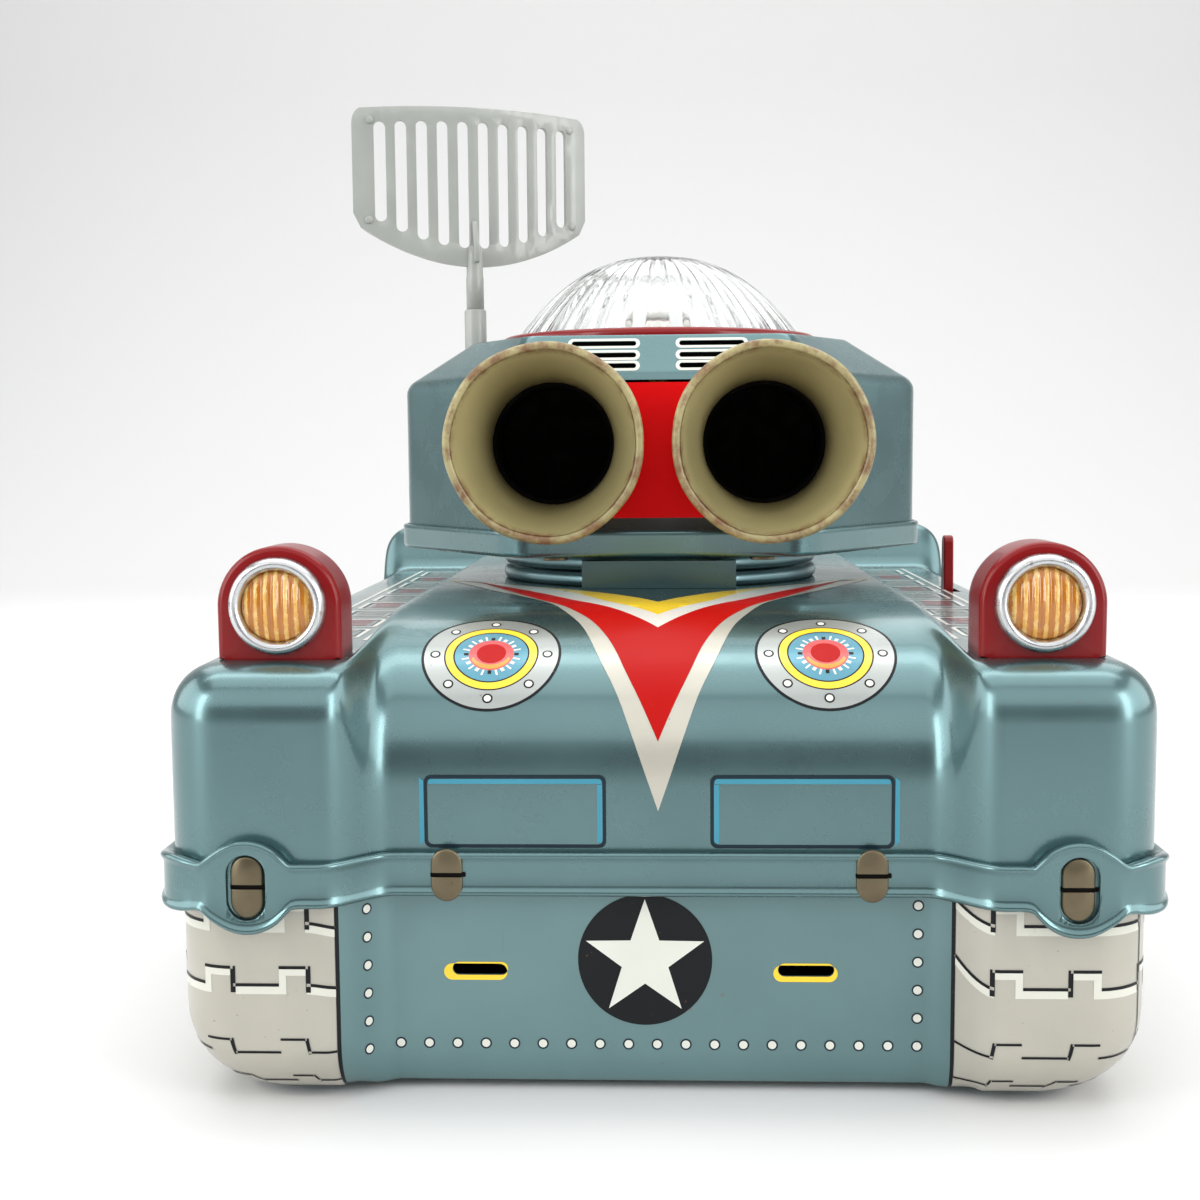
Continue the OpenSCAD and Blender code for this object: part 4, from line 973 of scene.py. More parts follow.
def roof_ring(u):
    """The roof between its outline (u = 0) and the dome's hole (u = 1)."""
    a = np.arctan2(ROOF[:, 1] - PIVOT_Y, ROOF[:, 0])
    x = mix(ROOF[:, 0], DOME_HOLE_R * np.cos(a), u)
    y = mix(ROOF[:, 1], PIVOT_Y + DOME_HOLE_R * np.sin(a), u)
    return np.stack([x, y, np.full(len(ROOF), ROOF_Z)], 1)


def make_turret_shell():
    panel_top = box_mm("front_panel")[1][2]
    nozzle_x, nozzle_z = nozzle_spot()
    rings = [level_ring(WALL, 0, z) for z in np.linspace(TURRET_Z + 1.1, WALL_TOP_Z, 14)[:-1]]
    for inward, climb in SHOULDER:
        x, y = mix(WALL[:, 0], ROOF[:, 0], inward), mix(WALL[:, 1], ROOF[:, 1], inward)
        rings.append(np.stack([x, y, np.full(len(WALL), mix(WALL_TOP_Z, ROOF_Z, climb))], 1))
    rings += [roof_ring(u) for u in (0.02, 0.2, 0.5, 0.8, 0.96, 1)]
    shell = loft("turret_pressing", rings, M["turret"], "turret")
    thicken(shell)
    opening = (-27, TURRET_FRONT - 3, TURRET_Z + 5.1), (27, TURRET_FRONT + 4, panel_top + 0.5)
    cutters = [block("front", *opening), rod("mast", (MAST_X, MAST_Y, 110), (MAST_X, MAST_Y, 140), 2.45)]
    window_low, window_high = box_mm("side_windows")
    for side in (-1, 1):
        cutters.append(rod("nozzle", (side * nozzle_x, TURRET_FRONT - 6, nozzle_z),
                           (side * nozzle_x, -34, nozzle_z), THROAT_CUT_R))
        xs = sorted((side * (TURRET_HALF_W - 3), side * (TURRET_HALF_W + 2)))
        cutters.append(block("window", (xs[0], window_low[1] + 2, window_low[2] + 2),
                             (xs[1], window_high[1] - 2, window_high[2] - 2)))
        for z in LOUVRE_ZS:
            cutters.append(stadium_block(side * LOUVRE_MID, z, LOUVRE_HALF, 0.45,
                                         TURRET_FRONT - 2, TURRET_FRONT + 9))
    cut(shell, cutters)
    crease(shell, 38)
    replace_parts(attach(shell, "turret"), "turret_shell")


def make_turret_base():
    low, high = box_mm("turret_base")
    top = high[2]
    stages = [(-34, 0), (-20, 0), (-2, 0), (0.4, 0), (0.85, 0.15), (1.12, 0.45), (1.2, 0.9)]
    stages = [(out, low[2] + up) for out, up in stages]
    stages += [(1.2, top - 1.0), (1.3, top - 0.55), (1.15, top - 0.15), (0.85, top), (0.5, top),
               (0.3, top - 0.25)]
    stages += [(out, low[2] + 1) for out in (0.3, -2, -20, -34)]
    rings = []
    for out, z in stages:
        if out > -2.5:
            rings.append(level_ring(WALL, out, z))
            continue
        scale = 1 + (out + 2) / 36
        ring = level_ring(WALL, -2, z)
        ring[:, 0] *= scale
        ring[:, 1] = PIVOT_Y + (ring[:, 1] - PIVOT_Y) * scale
        rings.append(ring)
    tray = loft("turret_base_tray", rings, M["turret"], "turret", close_rows=True)
    crease(tray, 40)
    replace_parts(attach(tray, "turret"), "turret_base")


def make_front_panel():
    low, high = box_mm("front_panel")
    nozzle_x, nozzle_z = nozzle_spot()
    # The nose panel takes the brightened red: painted light.
    panel = block("nose_panel", low, high, M["red_panel_lit"], None)
    cut(panel, [rod("throat_hole", (side * nozzle_x, low[1] - 2, nozzle_z),
                    (side * nozzle_x, high[1] + 2, nozzle_z), THROAT_CUT_R + 0.1, segments=96)
                for side in (-1, 1)])
    soften(panel, 0.3, 3, 50)
    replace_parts(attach(panel, "turret"), "front_panel")


# ---------------------------------------------------------------- nozzles and throats
def make_nozzle(side):
    name = "nozzle_" + side_name(side)
    low, high = box_mm(name)
    x, _, z = middle_mm(name)
    mouth_r, mouth, tail = (high[0] - low[0]) / 2, low[1] + 0.3, high[1]
    tubes_low, tubes_high = box_mm("throat_tubes")
    throat = (tubes_high[0] - tubes_low[0]) / 2 - nozzle_spot()[0] + 0.05
    depth = 27.0
    bell = mouth_r - 1.6

    def horn(t):
        return throat + (bell - throat) * (1 - t) ** 2.1

    steps = np.linspace(0, 1, 40)
    inner = [(horn(t), mouth + t * depth) for t in steps]
    outer = [(horn(t) + 0.5, mouth + t * depth + 0.2) for t in steps[::-1]]
    roll_r = 0.8
    roll = arc(mouth_r - roll_r, mouth + 0.5, roll_r, 1.9, -2.9, 28)
    profile = inner + [(throat, tail), (throat + 0.5, tail)] + outer[:-3] + roll

    def wavy(r, h, angles):
        dent = 0.12 * np.sin(3 * angles + side) + 0.08 * np.sin(7 * angles + 2 * side)
        near = smooth((mouth + 9 - h) / 9)
        return r + dent * near - 0.2 * near

    horn_obj = lathe(name + "_horn", profile, (x, 0, z), "y", M["nozzle"], "turret", 144, radius=wavy)
    crease(horn_obj, 60)
    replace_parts(horn_obj, name)


# Black liners closed at the back inside the nozzles: painted shade for the depth of the throats.
def make_throats():
    low, high = box_mm("throat_tubes")
    x = nozzle_spot()[0]
    r, z = high[0] - x, (low[2] + high[2]) / 2
    tubes = []
    for side in (-1, 1):
        rings = [(r, low[1]), (r - 0.1, high[1]), (0.0, high[1]), (0.0, high[1] - 0.6),
                 (r - 3.5, high[1] - 0.6)]
        inner = []
        for y in np.linspace(high[1] - 0.6, low[1], 60):
            groove = 0.25 * (math.sin((y - low[1]) * 2 * math.pi / 2.2) > 0.2)
            inner.append((r - 0.75 + groove * 0.5, y))
        tubes.append(lathe("throat", rings + inner, (side * x, 0, z), "y", M["black"], None, 96))
    throat = join("throat_shade_liners", tubes)
    crease(throat, 40)
    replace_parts(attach(throat, "turret"), "throat_tubes")


# ---------------------------------------------------------------- dome, ring, lamp
FLUTES = 40


def make_dome():
    low, high = box_mm("dome")
    base, top, r0 = low[2], high[2], DOME_R
    segments = FLUTES * 12

    def line(t, steps=40):
        points = []
        for i in range(steps + 1):
            r = (r0 - t) * math.sin(math.pi / 2 * i / steps)
            points.append((r, base + max(0.0, (top - base - t) * (1 - (r / (r0 - t)) ** 2.4))))
        return points

    def fluted(r, h, angles):
        ridge = 0.5 + 0.5 * np.cos(FLUTES * angles)
        start = smooth((r - 7) / 5) * smooth((h - base + 1.5) / 3)
        return r - 0.42 * (1 - ridge ** 0.7) * start

    outer = lathe("dome_outer", line(0), PIVOT, "z", M["dome"], None, segments, False, fluted)
    inner = lathe("dome_inner", line(1.1), PIVOT, "z", M["dome"], None, segments, False)
    for poly in inner.data.polygons:
        poly.flip()
    dome = join("dome_fluted", [outer, inner])
    bm = bmesh.new()
    bm.from_mesh(dome.data)
    edges = [e for e in bm.edges if e.is_boundary and abs(e.verts[0].co.z - base * MM) < 2e-6]
    bmesh.ops.bridge_loops(bm, edges=edges)
    bmesh.ops.recalc_face_normals(bm, faces=bm.faces)
    bm.to_mesh(dome.data)
    bm.free()
    crease(dome, 60)
    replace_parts(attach(dome, "turret"), "dome")


def make_dome_ring():
    low, high = box_mm("dome_ring")
    r_out, z0, z1 = (high[0] - low[0]) / 2, low[2], high[2]
    r_in = DOME_R + 0.1
    mid = (r_in + r_out) / 2
    half = (r_out - r_in) / 2
    crown = arc(mid, z0 + 0.35, half, 0, math.pi, 18, ry=z1 - z0 - 0.35)
    ring = lathe("dome_ring_bead", [(r_in, z0), (r_out, z0)] + crown, PIVOT, "z", M["red"], "turret", 160)
    crease(ring, 50)
    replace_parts(ring, "dome_ring")


# ---------------------------------------------------------------- radar
DISH_TOP_Z = box_mm("radar")[1][2]
DISH_BASE_Z = DISH_TOP_Z - 32.6
# The screen's rest angle round the mast, its curve's radius, its thickness and half width, and its slots.
DISH_YAW = math.radians(20)
DISH_R = 120.0
DISH_T = 1.2
HALF_DISH = 25.0
SLOTS, SLOT_PITCH, SLOT_R = 10, 4.3, 1.2


def dish_low(x):
    """Height of the screen's curved lower edge."""
    return DISH_BASE_Z + 8.6 * (x / HALF_DISH) ** 2


def dish_high(x):
    """Height of the screen's upper edge."""
    return DISH_TOP_Z - 0.9 * (x / HALF_DISH) ** 2


def dish_outline():
    """The screen's outline (x, z) with rounded corners, anticlockwise from the lower left."""
    low = [(x, dish_low(x)) for x in np.linspace(1.5 - HALF_DISH, HALF_DISH - 1.5, 40)]
    side_z = dish_low(HALF_DISH) + 2
    right = [(HALF_DISH, z) for z in np.linspace(side_z, DISH_TOP_Z - 4, 12)]
    corner = arc(HALF_DISH - 2.2, DISH_TOP_Z - 4, 2.2, 0.2, 1.4, 7, ry=3.3)
    high = [(x, dish_high(x)) for x in np.linspace(HALF_DISH - 2.4, 2.4 - HALF_DISH, 40)]
    mirrored = [(-x, z) for x, z in reversed(corner)]
    left = [(-HALF_DISH, z) for z in np.linspace(DISH_TOP_Z - 4, side_z, 12)]
    return low + right + corner + high + mirrored + left


def turned(points):
    """Turns points (x, y, z) round the mast by the screen's rest angle."""
    c, s = math.cos(DISH_YAW), math.sin(DISH_YAW)
    return [(MAST_X + x * c - y * s, MAST_Y + x * s + y * c, z) for x, y, z in points]


def screen_point(x, z, depth):
    """A point of the curved screen, at arc length x and a depth below its front."""
    a = x / DISH_R
    r = DISH_R - depth
    return (r * math.sin(a), DISH_R - DISH_T / 2 - r * math.cos(a), z)


def make_screen():
    holes = []
    for k in range(SLOTS):
        x = (k - (SLOTS - 1) / 2) * SLOT_PITCH
        z0, z1 = dish_low(x) + 5, dish_high(x) - 4
        holes.append(arc(x, z1, SLOT_R, 0, math.pi, 12) + arc(x, z0, -SLOT_R, 0, math.pi, 12))
    scale = DISH_R * math.asin(HALF_DISH / DISH_R) / HALF_DISH
    loops = [[(x * scale, z) for x, z in loop] for loop in [dish_outline()] + holes]
    verts, faces = fill(loops, 2.4)
    points = turned([screen_point(x, z, 0) for x, z in verts])
    screen = add_mesh("radar_screen", points, faces, M["radar"], None)
    modify(screen, "SOLIDIFY", thickness=DISH_T * MM, offset=-1, use_rim=True, use_quality_normals=True)
    bake_modifiers(screen)
    return soften(screen, 0.28, 3, 50)


def make_radar():
    parts = [make_screen()]
    profile = [(0, TURRET_Z - 0.2), (1.45, TURRET_Z - 0.2), (1.5, TURRET_Z + 0.4), (1.5, 132.6),
               (1.85, 132.75), (1.85, 139)]
    profile += [(r, DISH_BASE_Z + up) for r, up in ((1.75, -2), (1.7, 1), (1.5, 4), (0.9, 4.6), (0, 4.7))]
    parts.append(lathe("mast", profile, (MAST_X, MAST_Y, 0), "z", M["radar"], None, 48, closed=False))
    gusset = ((0.2, 0.6), (1.9, 0.9), (1.9, 3.6), (0.5, 9.4), (0.1, 9.4))
    rings = [turned([(x, -DISH_T / 2 - d, DISH_BASE_Z + up) for d, up in gusset]) for x in (-0.6, 0.6)]
    parts.append(soften(loft("gusset", rings, M["radar"], None, cap_ends=True), 0.25, 2, 40))
    pin_top, pin_low = DISH_TOP_Z - 3.2, dish_low(22) + 2.6
    pin_line = [(0, 0.45), (0.5, 0.42), (0.8, 0.25), (0.85, 0), (0.85, -0.4)]
    for x, z in ((-21.5, pin_top), (21.5, pin_top), (-22, pin_low), (22, pin_low)):
        pin = lathe("pin", pin_line, (0, 0, 0), "z", M["radar"], None, 24, closed=False)
        turn = (Matrix.Rotation(DISH_YAW, 4, "Z") @ Matrix.Rotation(x / DISH_R, 4, "Z")
                @ Matrix.Rotation(math.pi / 2, 4, "X"))
        place = Matrix.Translation(Vector(turned([screen_point(x, z, 0)])[0]) * MM)
        pin.data.transform(place @ turn)
        parts.append(pin)
    radar = join("radar_screen", parts)
    crease(radar, 40)
    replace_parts(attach(radar, "radar"), "radar")
    low, high = box_mm("radar_socket")
    profile = [(1.56, low[2]), (2.3, low[2]), (2.3, high[2] - 0.5), (2.15, high[2] - 0.1),
               (1.9, high[2]), (1.56, high[2])]
    socket = lathe("mast_socket", profile, (MAST_X, MAST_Y, 0), "z", M["radar"], "turret", 48)
    crease(socket, 40)
    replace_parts(socket, "radar_socket")


# ---------------------------------------------------------------- flat fills and prints
def inside(points, loops):
    """Even-odd test of (u, v) points against closed loops."""
    points = np.asarray(points, float)
    odd = np.zeros(len(points), bool)
    for loop in loops:
        a = np.asarray(loop, float)
        b = np.roll(a, -1, 0)
        for (x0, y0), (x1, y1) in zip(a, b):
            if y0 == y1:
                continue
            crosses = (points[:, 1] < y0) != (points[:, 1] < y1)
            odd ^= crosses & (points[:, 0] < x0 + (points[:, 1] - y0) * (x1 - x0) / (y1 - y0))
    return odd


def dense(loop, step):
    """Adds points along a loop so that no side is longer than a step."""
    points = []
    for a, b in zip(loop, loop[1:] + loop[:1]):
        n = max(1, math.ceil(math.dist(a, b) / step))
        points += [(mix(a[0], b[0], t / n), mix(a[1], b[1], t / n)) for t in range(n)]
    return points


def fill(loops, step):
    """Triangles (points, faces) that fill the loops, holes left open, with a grid of points inside."""
    loops = [dense([tuple(map(float, p)) for p in loop], step) for loop in loops]
    points, edges = [], []
    for loop in loops:
        n = len(points)
        points += loop
        edges += [(n + i, n + (i + 1) % len(loop)) for i in range(len(loop))]
    arr = np.array(points)
    low, high = arr.min(0), arr.max(0)
    grid = np.array([(x, y) for x in np.arange(low[0], high[0], step)
                     for y in np.arange(low[1], high[1], step)])
    if len(grid):
        grid = grid[inside(grid, loops)]
    if len(grid):
        gap = np.min(np.linalg.norm(grid[:, None] - arr[None], axis=2), 1)
        points += [tuple(p) for p in grid[gap > step * 0.45]]
    verts, _, faces, *_ = delaunay_2d_cdt([Vector(p) for p in points], edges, [], 0, 1e-6)
    verts = [tuple(v) for v in verts]
    centres = np.array([np.mean([verts[i] for i in f], 0) for f in faces])
    return verts, [f for f, keep in zip(faces, inside(centres, loops)) if keep]


def printed(name, loops, paint, place, body, step=1.5, lift=PRINT_LIFT):
    """An ink layer: filled loops laid on a surface by place(u, v) -> point and normal."""
    verts, faces = fill(loops, step)
    points = [np.asarray(p) + np.asarray(n) * lift for p, n in (place(u, v) for u, v in verts)]
    return add_mesh(name, points, faces, paint, body)


def circle(cx, cy, r, n=48):
    return arc(cx, cy, r, 0, FULL_TURN, n, endpoint=False)


def annulus(cx, cy, outer, outer_n, inner, inner_n):
    """The two loops of a ring."""
    return [circle(cx, cy, outer, outer_n), circle(cx, cy, inner, inner_n)]


def stroke(points, width):
    """A closed loop round an open line, with square corners kept by mitres."""
    pts = [np.array(p, float) for p in points]
    left, right = [], []
    for i, p in enumerate(pts):
        before = unit(p - pts[i - 1]) if i else None
        after = unit(pts[i + 1] - p) if i < len(pts) - 1 else None
        d = unit((before if before is not None else after) + (after if after is not None else before))
        n = np.array([-d[1], d[0]])
        ref = before if before is not None else after
        half = width / 2 / max(0.35, abs(float(n @ np.array([-ref[1], ref[0]]))))
        left.append(tuple(p + n * half))
        right.append(tuple(p - n * half))
    return left + right[::-1]


def rounded_box(x0, y0, x1, y1, r, n=6):
    loop = []
    for cx, cy, a0 in ((x1 - r, y0 + r, -90), (x1 - r, y1 - r, 0), (x0 + r, y1 - r, 90),
                       (x0 + r, y0 + r, 180)):
        angles = np.radians(np.linspace(a0, a0 + 90, n))
        loop += [(cx + r * math.cos(a), cy + r * math.sin(a)) for a in angles]
    return loop


# Bonnet line: distance s down the bonnet's crown from where it starts to curve.
_a = np.linspace(math.pi / 2, 0, 721)
BONNET_LINE = np.stack([NOSE_Y + BONNET_IN * (1 - np.clip(np.cos(_a), 0, 1) ** ROUND_POWER),
                        HOOD_Z - BONNET_DOWN * (1 - np.sin(_a) ** ROUND_POWER)], 1)
BONNET_S = distances_along(BONNET_LINE)


def on_bonnet(x, s):
    """The point at x and distance s down the bonnet, with its outward normal."""
    if s <= 0:
        return (x, BONNET_LINE[0, 0] - s, HOOD_Z), (0, 0, 1)
    if s >= BONNET_S[-1]:
        return (x, NOSE_Y, BONNET_LINE[-1, 1] - (s - BONNET_S[-1])), (0, -1, 0)
    (y, z), (y2, z2), (y1, z1) = ([np.interp(s + d, BONNET_S, BONNET_LINE[:, k]) for k in (0, 1)]
                                  for d in (0, 0.5, -0.5))
    return (x, y, z), unit(np.array([0, z2 - z1, -(y2 - y1)]))


def on_top(x, y):
    """The point of the upper pressing's top above (x, y)."""
    return (x, y, float(top_z(np.array(x), np.array(y)))), (0, 0, 1)


# Lower pressing: distance t round the outline from the middle of the front, and height z.
_around = np.concatenate([AROUND, AROUND[:1]])
_ts = distances_along(_around[:, :2])
_t0 = float(np.interp(0, AROUND[:len(EDGES[0]) - 1, 0], _ts[:len(EDGES[0]) - 1]))


def lower_station(t):
    """The outline's station at distance t."""
    u = (t + _t0) % _ts[-1]
    return np.array([[np.interp(u, _ts, _around[:, k]) for k in range(4)]])


def on_lower(t, z):
    """The point of the lower pressing at distance t and height z, with its outward normal."""
    def at(tt, zz):
        s = lower_station(tt)
        rise = float(belly_rise(s)[0])
        a = math.asin(min(1.0, max(0.0, 1 - (zz - BELLY_Z) / rise))) if zz < BELLY_Z + rise else 0.0
        p = belly_ring(s, a)[0]
        if zz >= BELLY_Z + rise:
            p[2] = zz
        return p

    p = at(t, z)
    n = np.cross(at(t + 0.4, z) - at(t - 0.4, z), at(t, z + 0.4) - at(t, z - 0.4))
    return p, unit(n)


def ribbon(line):
    """A left-hand line of (x, s) points and its mirror image, from the left end to the right end."""
    mirrored = line[:-1] if line[-1][0] == 0 else line
    return line + [(-x, s) for x, s in reversed(mirrored)]


# The left halves of the chevron's lines: x, and distance s down the bonnet.
YELLOW_TOP = [(-43, -48.5), (-15.2, -23.3), (-5.2, -10.3), (0, 0)]
YELLOW_LOW = [(-42.7, -46.2), (-24.1, -31.3), (-14.8, -15.8), (-8.4, 0), (0, 11.8)]
CREAM_LOW = [(-37.4, -44), (-23.2, -19.5), (-14.1, -1.7), (-7.2, 8.2), (0, 17.7)]
RED_EDGE = [(-37.4, -44), (-22.3, -6.8), (-15.7, 6.7), (-11.1, 15), (-7.8, 22.4), (-5.2, 29.7),
            (-2.7, 35.7), (0, 42.1)]
CREAM_EDGE = [(-42.7, -46.2), (-33, -26), (-22.1, -5.1), (-15.8, 10.1), (-12.6, 17.4), (-9.5, 26.8),
              (-6.6, 34), (-4.5, 40), (-2.4, 46.1), (0, 53.1)]
# The chevron's bands: upper and lower line, ink, and how many print lifts it stands off.
CHEVRON = (("cream", CREAM_LOW, CREAM_EDGE, "ink_cream", 1),
           ("yellow", YELLOW_TOP, YELLOW_LOW, "ink_yellow", 1),
           ("cream_v", YELLOW_LOW, CREAM_LOW, "ink_white", 1),
           ("red", CREAM_LOW, RED_EDGE, "ink_red", 1.6))


def curve_through(line, n=8):
    """A smooth line through the points, by Catmull-Rom spans."""
    p = [np.array(q, float) for q in line]
    p = [2 * p[0] - p[1]] + p + [2 * p[-1] - p[-2]]
    out = []
    for i in range(1, len(p) - 2):
        a, b, c, d = p[i - 1:i + 3]
        for t in np.linspace(0, 1, n, endpoint=False):
            out.append(tuple(0.5 * ((2 * b) + (c - a) * t + (2 * a - 5 * b + 4 * c - d) * t * t
                                    + (3 * b - a - 3 * c + d) * t ** 3)))
    return out + [tuple(p[-2])]


def between(upper, lower):
    """The loop between two left-hand lines, carried over to the right-hand side."""
    top, low = ribbon(curve_through(upper)), ribbon(curve_through(lower))
    return [top + low[::-1]]


def print_chevron():
    for name, upper, lower, ink, lift in CHEVRON:
        printed("chevron_" + name, between(upper, lower), M[ink], on_bonnet, "hull", 1.6, PRINT_LIFT * lift)


DIAL_X, DIAL_S = 27.2, 25.7
# A dial's printed rings: layer, then outer and inner radius, each with its number of points.
DIAL_RINGS = (("black", 11.45, 96, 11.0, 96), ("silver", 11.0, 96, 7.75, 72), ("black", 7.75, 72, 7.5, 72),
              ("yellow", 7.5, 72, 6.25, 72), ("black", 6.25, 72, 6.0, 72), ("blue", 6.0, 72, 3.7, 48))
DIAL_RIVETS, DIAL_RIVET_R = 8, 9.2
DIAL_TICKS = 24
# A dial's layers in their order: ink, and how many print lifts it stands off.
DIAL_INKS = {"silver": ("ink_silver", 1), "black": ("ink_black", 1), "yellow": ("ink_yellow", 1),
             "blue": ("ink_dial", 1), "red": ("ink_red", 1.6), "orange": ("ink_orange", 1.6),
             "rose": ("ink_rose", 1), "black_top": ("ink_black", 1.6), "white_top": ("ink_white", 1.6)}


def print_dials():
    layers = {name: [] for name in DIAL_INKS}
    for cx in (-DIAL_X, DIAL_X):
        for name, *ring in DIAL_RINGS:
            layers[name] += annulus(cx, DIAL_S, *ring)
        for k in range(DIAL_RIVETS):
            a = math.radians(45 * k)
            px, ps = cx + DIAL_RIVET_R * math.cos(a), DIAL_S + DIAL_RIVET_R * math.sin(a)
            layers["black_top"] += annulus(px, ps, 0.85, 20, 0.58, 20)
            layers["white_top"] += [circle(px, ps, 0.58, 20)]
        for k in range(DIAL_TICKS):
            a = math.radians(15 * k)
            wide, end = (0.17, 4.9) if k % 2 else (0.3, 4.5)
            tick = [(cx + r * math.cos(a + d / r), DIAL_S + r * math.sin(a + d / r))
                    for r, d in ((3.75, -wide), (end, -wide), (end, wide), (3.75, wide))]
            layers["white_top" if k % 6 else "black_top"] += [tick]
        layers["rose"] += [circle(cx, DIAL_S, 3.7, 48)]
        crescent = arc(cx, DIAL_S + 0.15, 3.4, 0.35, math.pi - 0.35, 20, ry=3.3)
        layers["orange"] += [crescent + arc(cx, DIAL_S - 0.1, 3.0, math.pi - 0.3, 0.3, 20, ry=2.6)]
        layers["red"] += [circle(cx, DIAL_S - 0.25, 2.4, 40)]
    for name, (ink, lift) in DIAL_INKS.items():
        printed("dial_" + name, layers[name], M[ink], on_bonnet, "hull", 1.2, PRINT_LIFT * lift)


def on_nose(x, z):
    """A point of the set-back front wall."""
    return (x, NOSE_Y, z), (0, -1, 0)


NOSE_PANEL_XS = (8.2, 37.05)


def print_nose_panels():
    """Two outlined panels on the set-back front wall, with pale shades along their edges."""
    lines, shades = [], []
    for side in (-1, 1):
        x0, x1 = sorted(side * x for x in NOSE_PANEL_XS)
        lines += [rounded_box(x0, 40.44, x1, 52.13, 1.1),
                  rounded_box(x0 + 0.55, 40.99, x1 - 0.55, 51.58, 0.8)]
        shades.append([(x0 + 0.7, 50.7), (x1 - 0.7, 50.7), (x1 - 0.7, 51.5), (x0 + 0.7, 51.5)])
        near = (8.8, 9.6) if side > 0 else (-9.6, -8.8)
        shades.append([(near[0], 41.2), (near[1], 41.2), (near[1], 50.6), (near[0], 50.6)])
        far = (37.1, 37.8) if side > 0 else (-37.8, -37.1)
        shades.append([(far[0], 40.8), (far[1], 41.6), (far[1], 51.2), (far[0], 51.8)])
    printed("nose_panel_lines", lines, M["ink_line"], on_nose, "hull", 3)
    printed("nose_panel_shades", shades, M["ink_blue"], on_nose, "hull", 3)


def along_front(x):
    """Distance round the outline of a point at x on the front edge."""
    reach = min(abs(x), STRAIGHT_X)
    front = EDGES[0]
    flat = front[np.abs(front[:, 3]) > 0.999]
    t = distances_along(flat[:, :2])
    t = float(np.interp(reach, flat[:, 0], t) - np.interp(0, flat[:, 0], t))
    if abs(x) > STRAIGHT_X:
        t += CORNER_R * math.asin(min(1.0, (abs(x) - STRAIGHT_X) / CORNER_R))
    return math.copysign(t, x)


def on_roof_front(x, z):
    """The sloping face between the turret's front shoulder and its roof."""
    climb = (z - WALL_TOP_Z) / (ROOF_Z - WALL_TOP_Z)
    run, rise = 1 - SLOPE_START[0], 1 - SLOPE_START[1]
    inward = mix(SLOPE_START[0], 1.0, (climb - SLOPE_START[1]) / rise)
    n = unit(np.array([0, -(ROOF_Z - WALL_TOP_Z) * rise, (ROOF_FRONT - TURRET_FRONT) * run]))
    return (x, mix(TURRET_FRONT, ROOF_FRONT, inward), z), n


def print_louvre_rim_highlights():
    """White rims round the louvre slots: painted highlights where the pressed edges catch light."""
    loops = []
    for z in LOUVRE_ZS:
        for side in (-1, 1):
            loops += [stadium(side * LOUVRE_MID, z, LOUVRE_HALF + 0.75, 0.98, 12),
                      stadium(side * LOUVRE_MID, z, LOUVRE_HALF + 0.05, 0.5, 12)]
    printed("louvre_rim_highlights", loops, M["ink_white"], on_roof_front, "turret", 2)


STAR_Z, STAR_R, STAR_WAIST_R, STAR_DISC_R = 22.0, 9.9, 3.9, 10.7


def print_star():
    cx, cz = PRINT_DX_SLOTS + 0.4, STAR_Z
    star = []
    for k in range(10):
        r = STAR_WAIST_R if k % 2 else STAR_R
        a = math.pi / 2 + k * math.pi / 5
        star.append((cx + r * math.cos(a), cz + r * math.sin(a)))
    printed("star_disc", [circle(cx, cz, STAR_DISC_R, 120), star], M["ink_black"], on_lower, "hull", 2)
    printed("star", [star], M["ink_white"], on_lower, "hull", 2)


RIVET_ROW_X, RIVET_ROW_Z, RIVET_TOP_Z = 43.6, 8.1, 31.0


def print_rivets():
    """Printed rivets round three sides of the front panel, and worn yellow edges of its slots."""
    spots = [(along_front(PRINT_DX_SLOTS + side * RIVET_ROW_X), z)
             for side in (-1, 1) for z in np.linspace(RIVET_TOP_Z, RIVET_ROW_Z, 6)]
    row = np.linspace(PRINT_DX_SLOTS - RIVET_ROW_X, PRINT_DX_SLOTS + RIVET_ROW_X, 20)[1:-1]
    spots += [(along_front(x), RIVET_ROW_Z) for x in row]
    rims = [loop for x, z in spots for loop in annulus(x, z, 0.92, 24, 0.66, 24)]
    heads = [circle(x, z, 0.66, 24) for x, z in spots]
    printed("rivet_rims", rims, M["ink_line"], on_lower, "hull", 2)
    printed("rivet_heads", heads, M["ink_white"], on_lower, "hull", 2)
    yellow = []
    for side, dx, dz in ((-1, -0.75, -0.55), (1, -0.1, -0.6)):
        x = PRINT_DX_SLOTS + side * SLOT_X
        yellow += [stadium(x + dx, SLOT_Z + dz, 5.1, 1.35, 16), stadium(x, SLOT_Z, 4.47, 1.07, 16)]
    printed("slot_shadows", yellow, M["ink_yellow"], on_lower, "hull", 2)


TRACK_PITCH = 12.6
# Rows of the printed track: low line, top line, bar's foot, line width, bar width, bar's slant.
TRACK_ROWS = ((30.0, 33.2, 29.0, 0.5, 0.8, 0), (20.1, 22.9, 18.9, 0.5, 0.8, 0),
              (9.2, 11.3, 8.9, 0.38, 0.6, 0.5), (3.9, 4.9, 3.6, 0.3, 0.5, 0.6))
# Per side: distance from the border to the first bar, and how far off the low line starts, row by row.
TRACK_STARTS = {-1: (4.9, (-0.9, -0.6, 0.0, 0.0)), 1: (6.9, (3.0, 4.0, 1.0, 0.2))}
TRACK_STEP = 4.9
TRACK_CORNER_X = 75.4


def lay_for(side):
    """A function that adds a loop to a list, mirrored on the left side."""
    def lay(loop, target):
        target.append([(side * a, b) for a, b in (loop if side > 0 else loop[::-1])])

    return lay


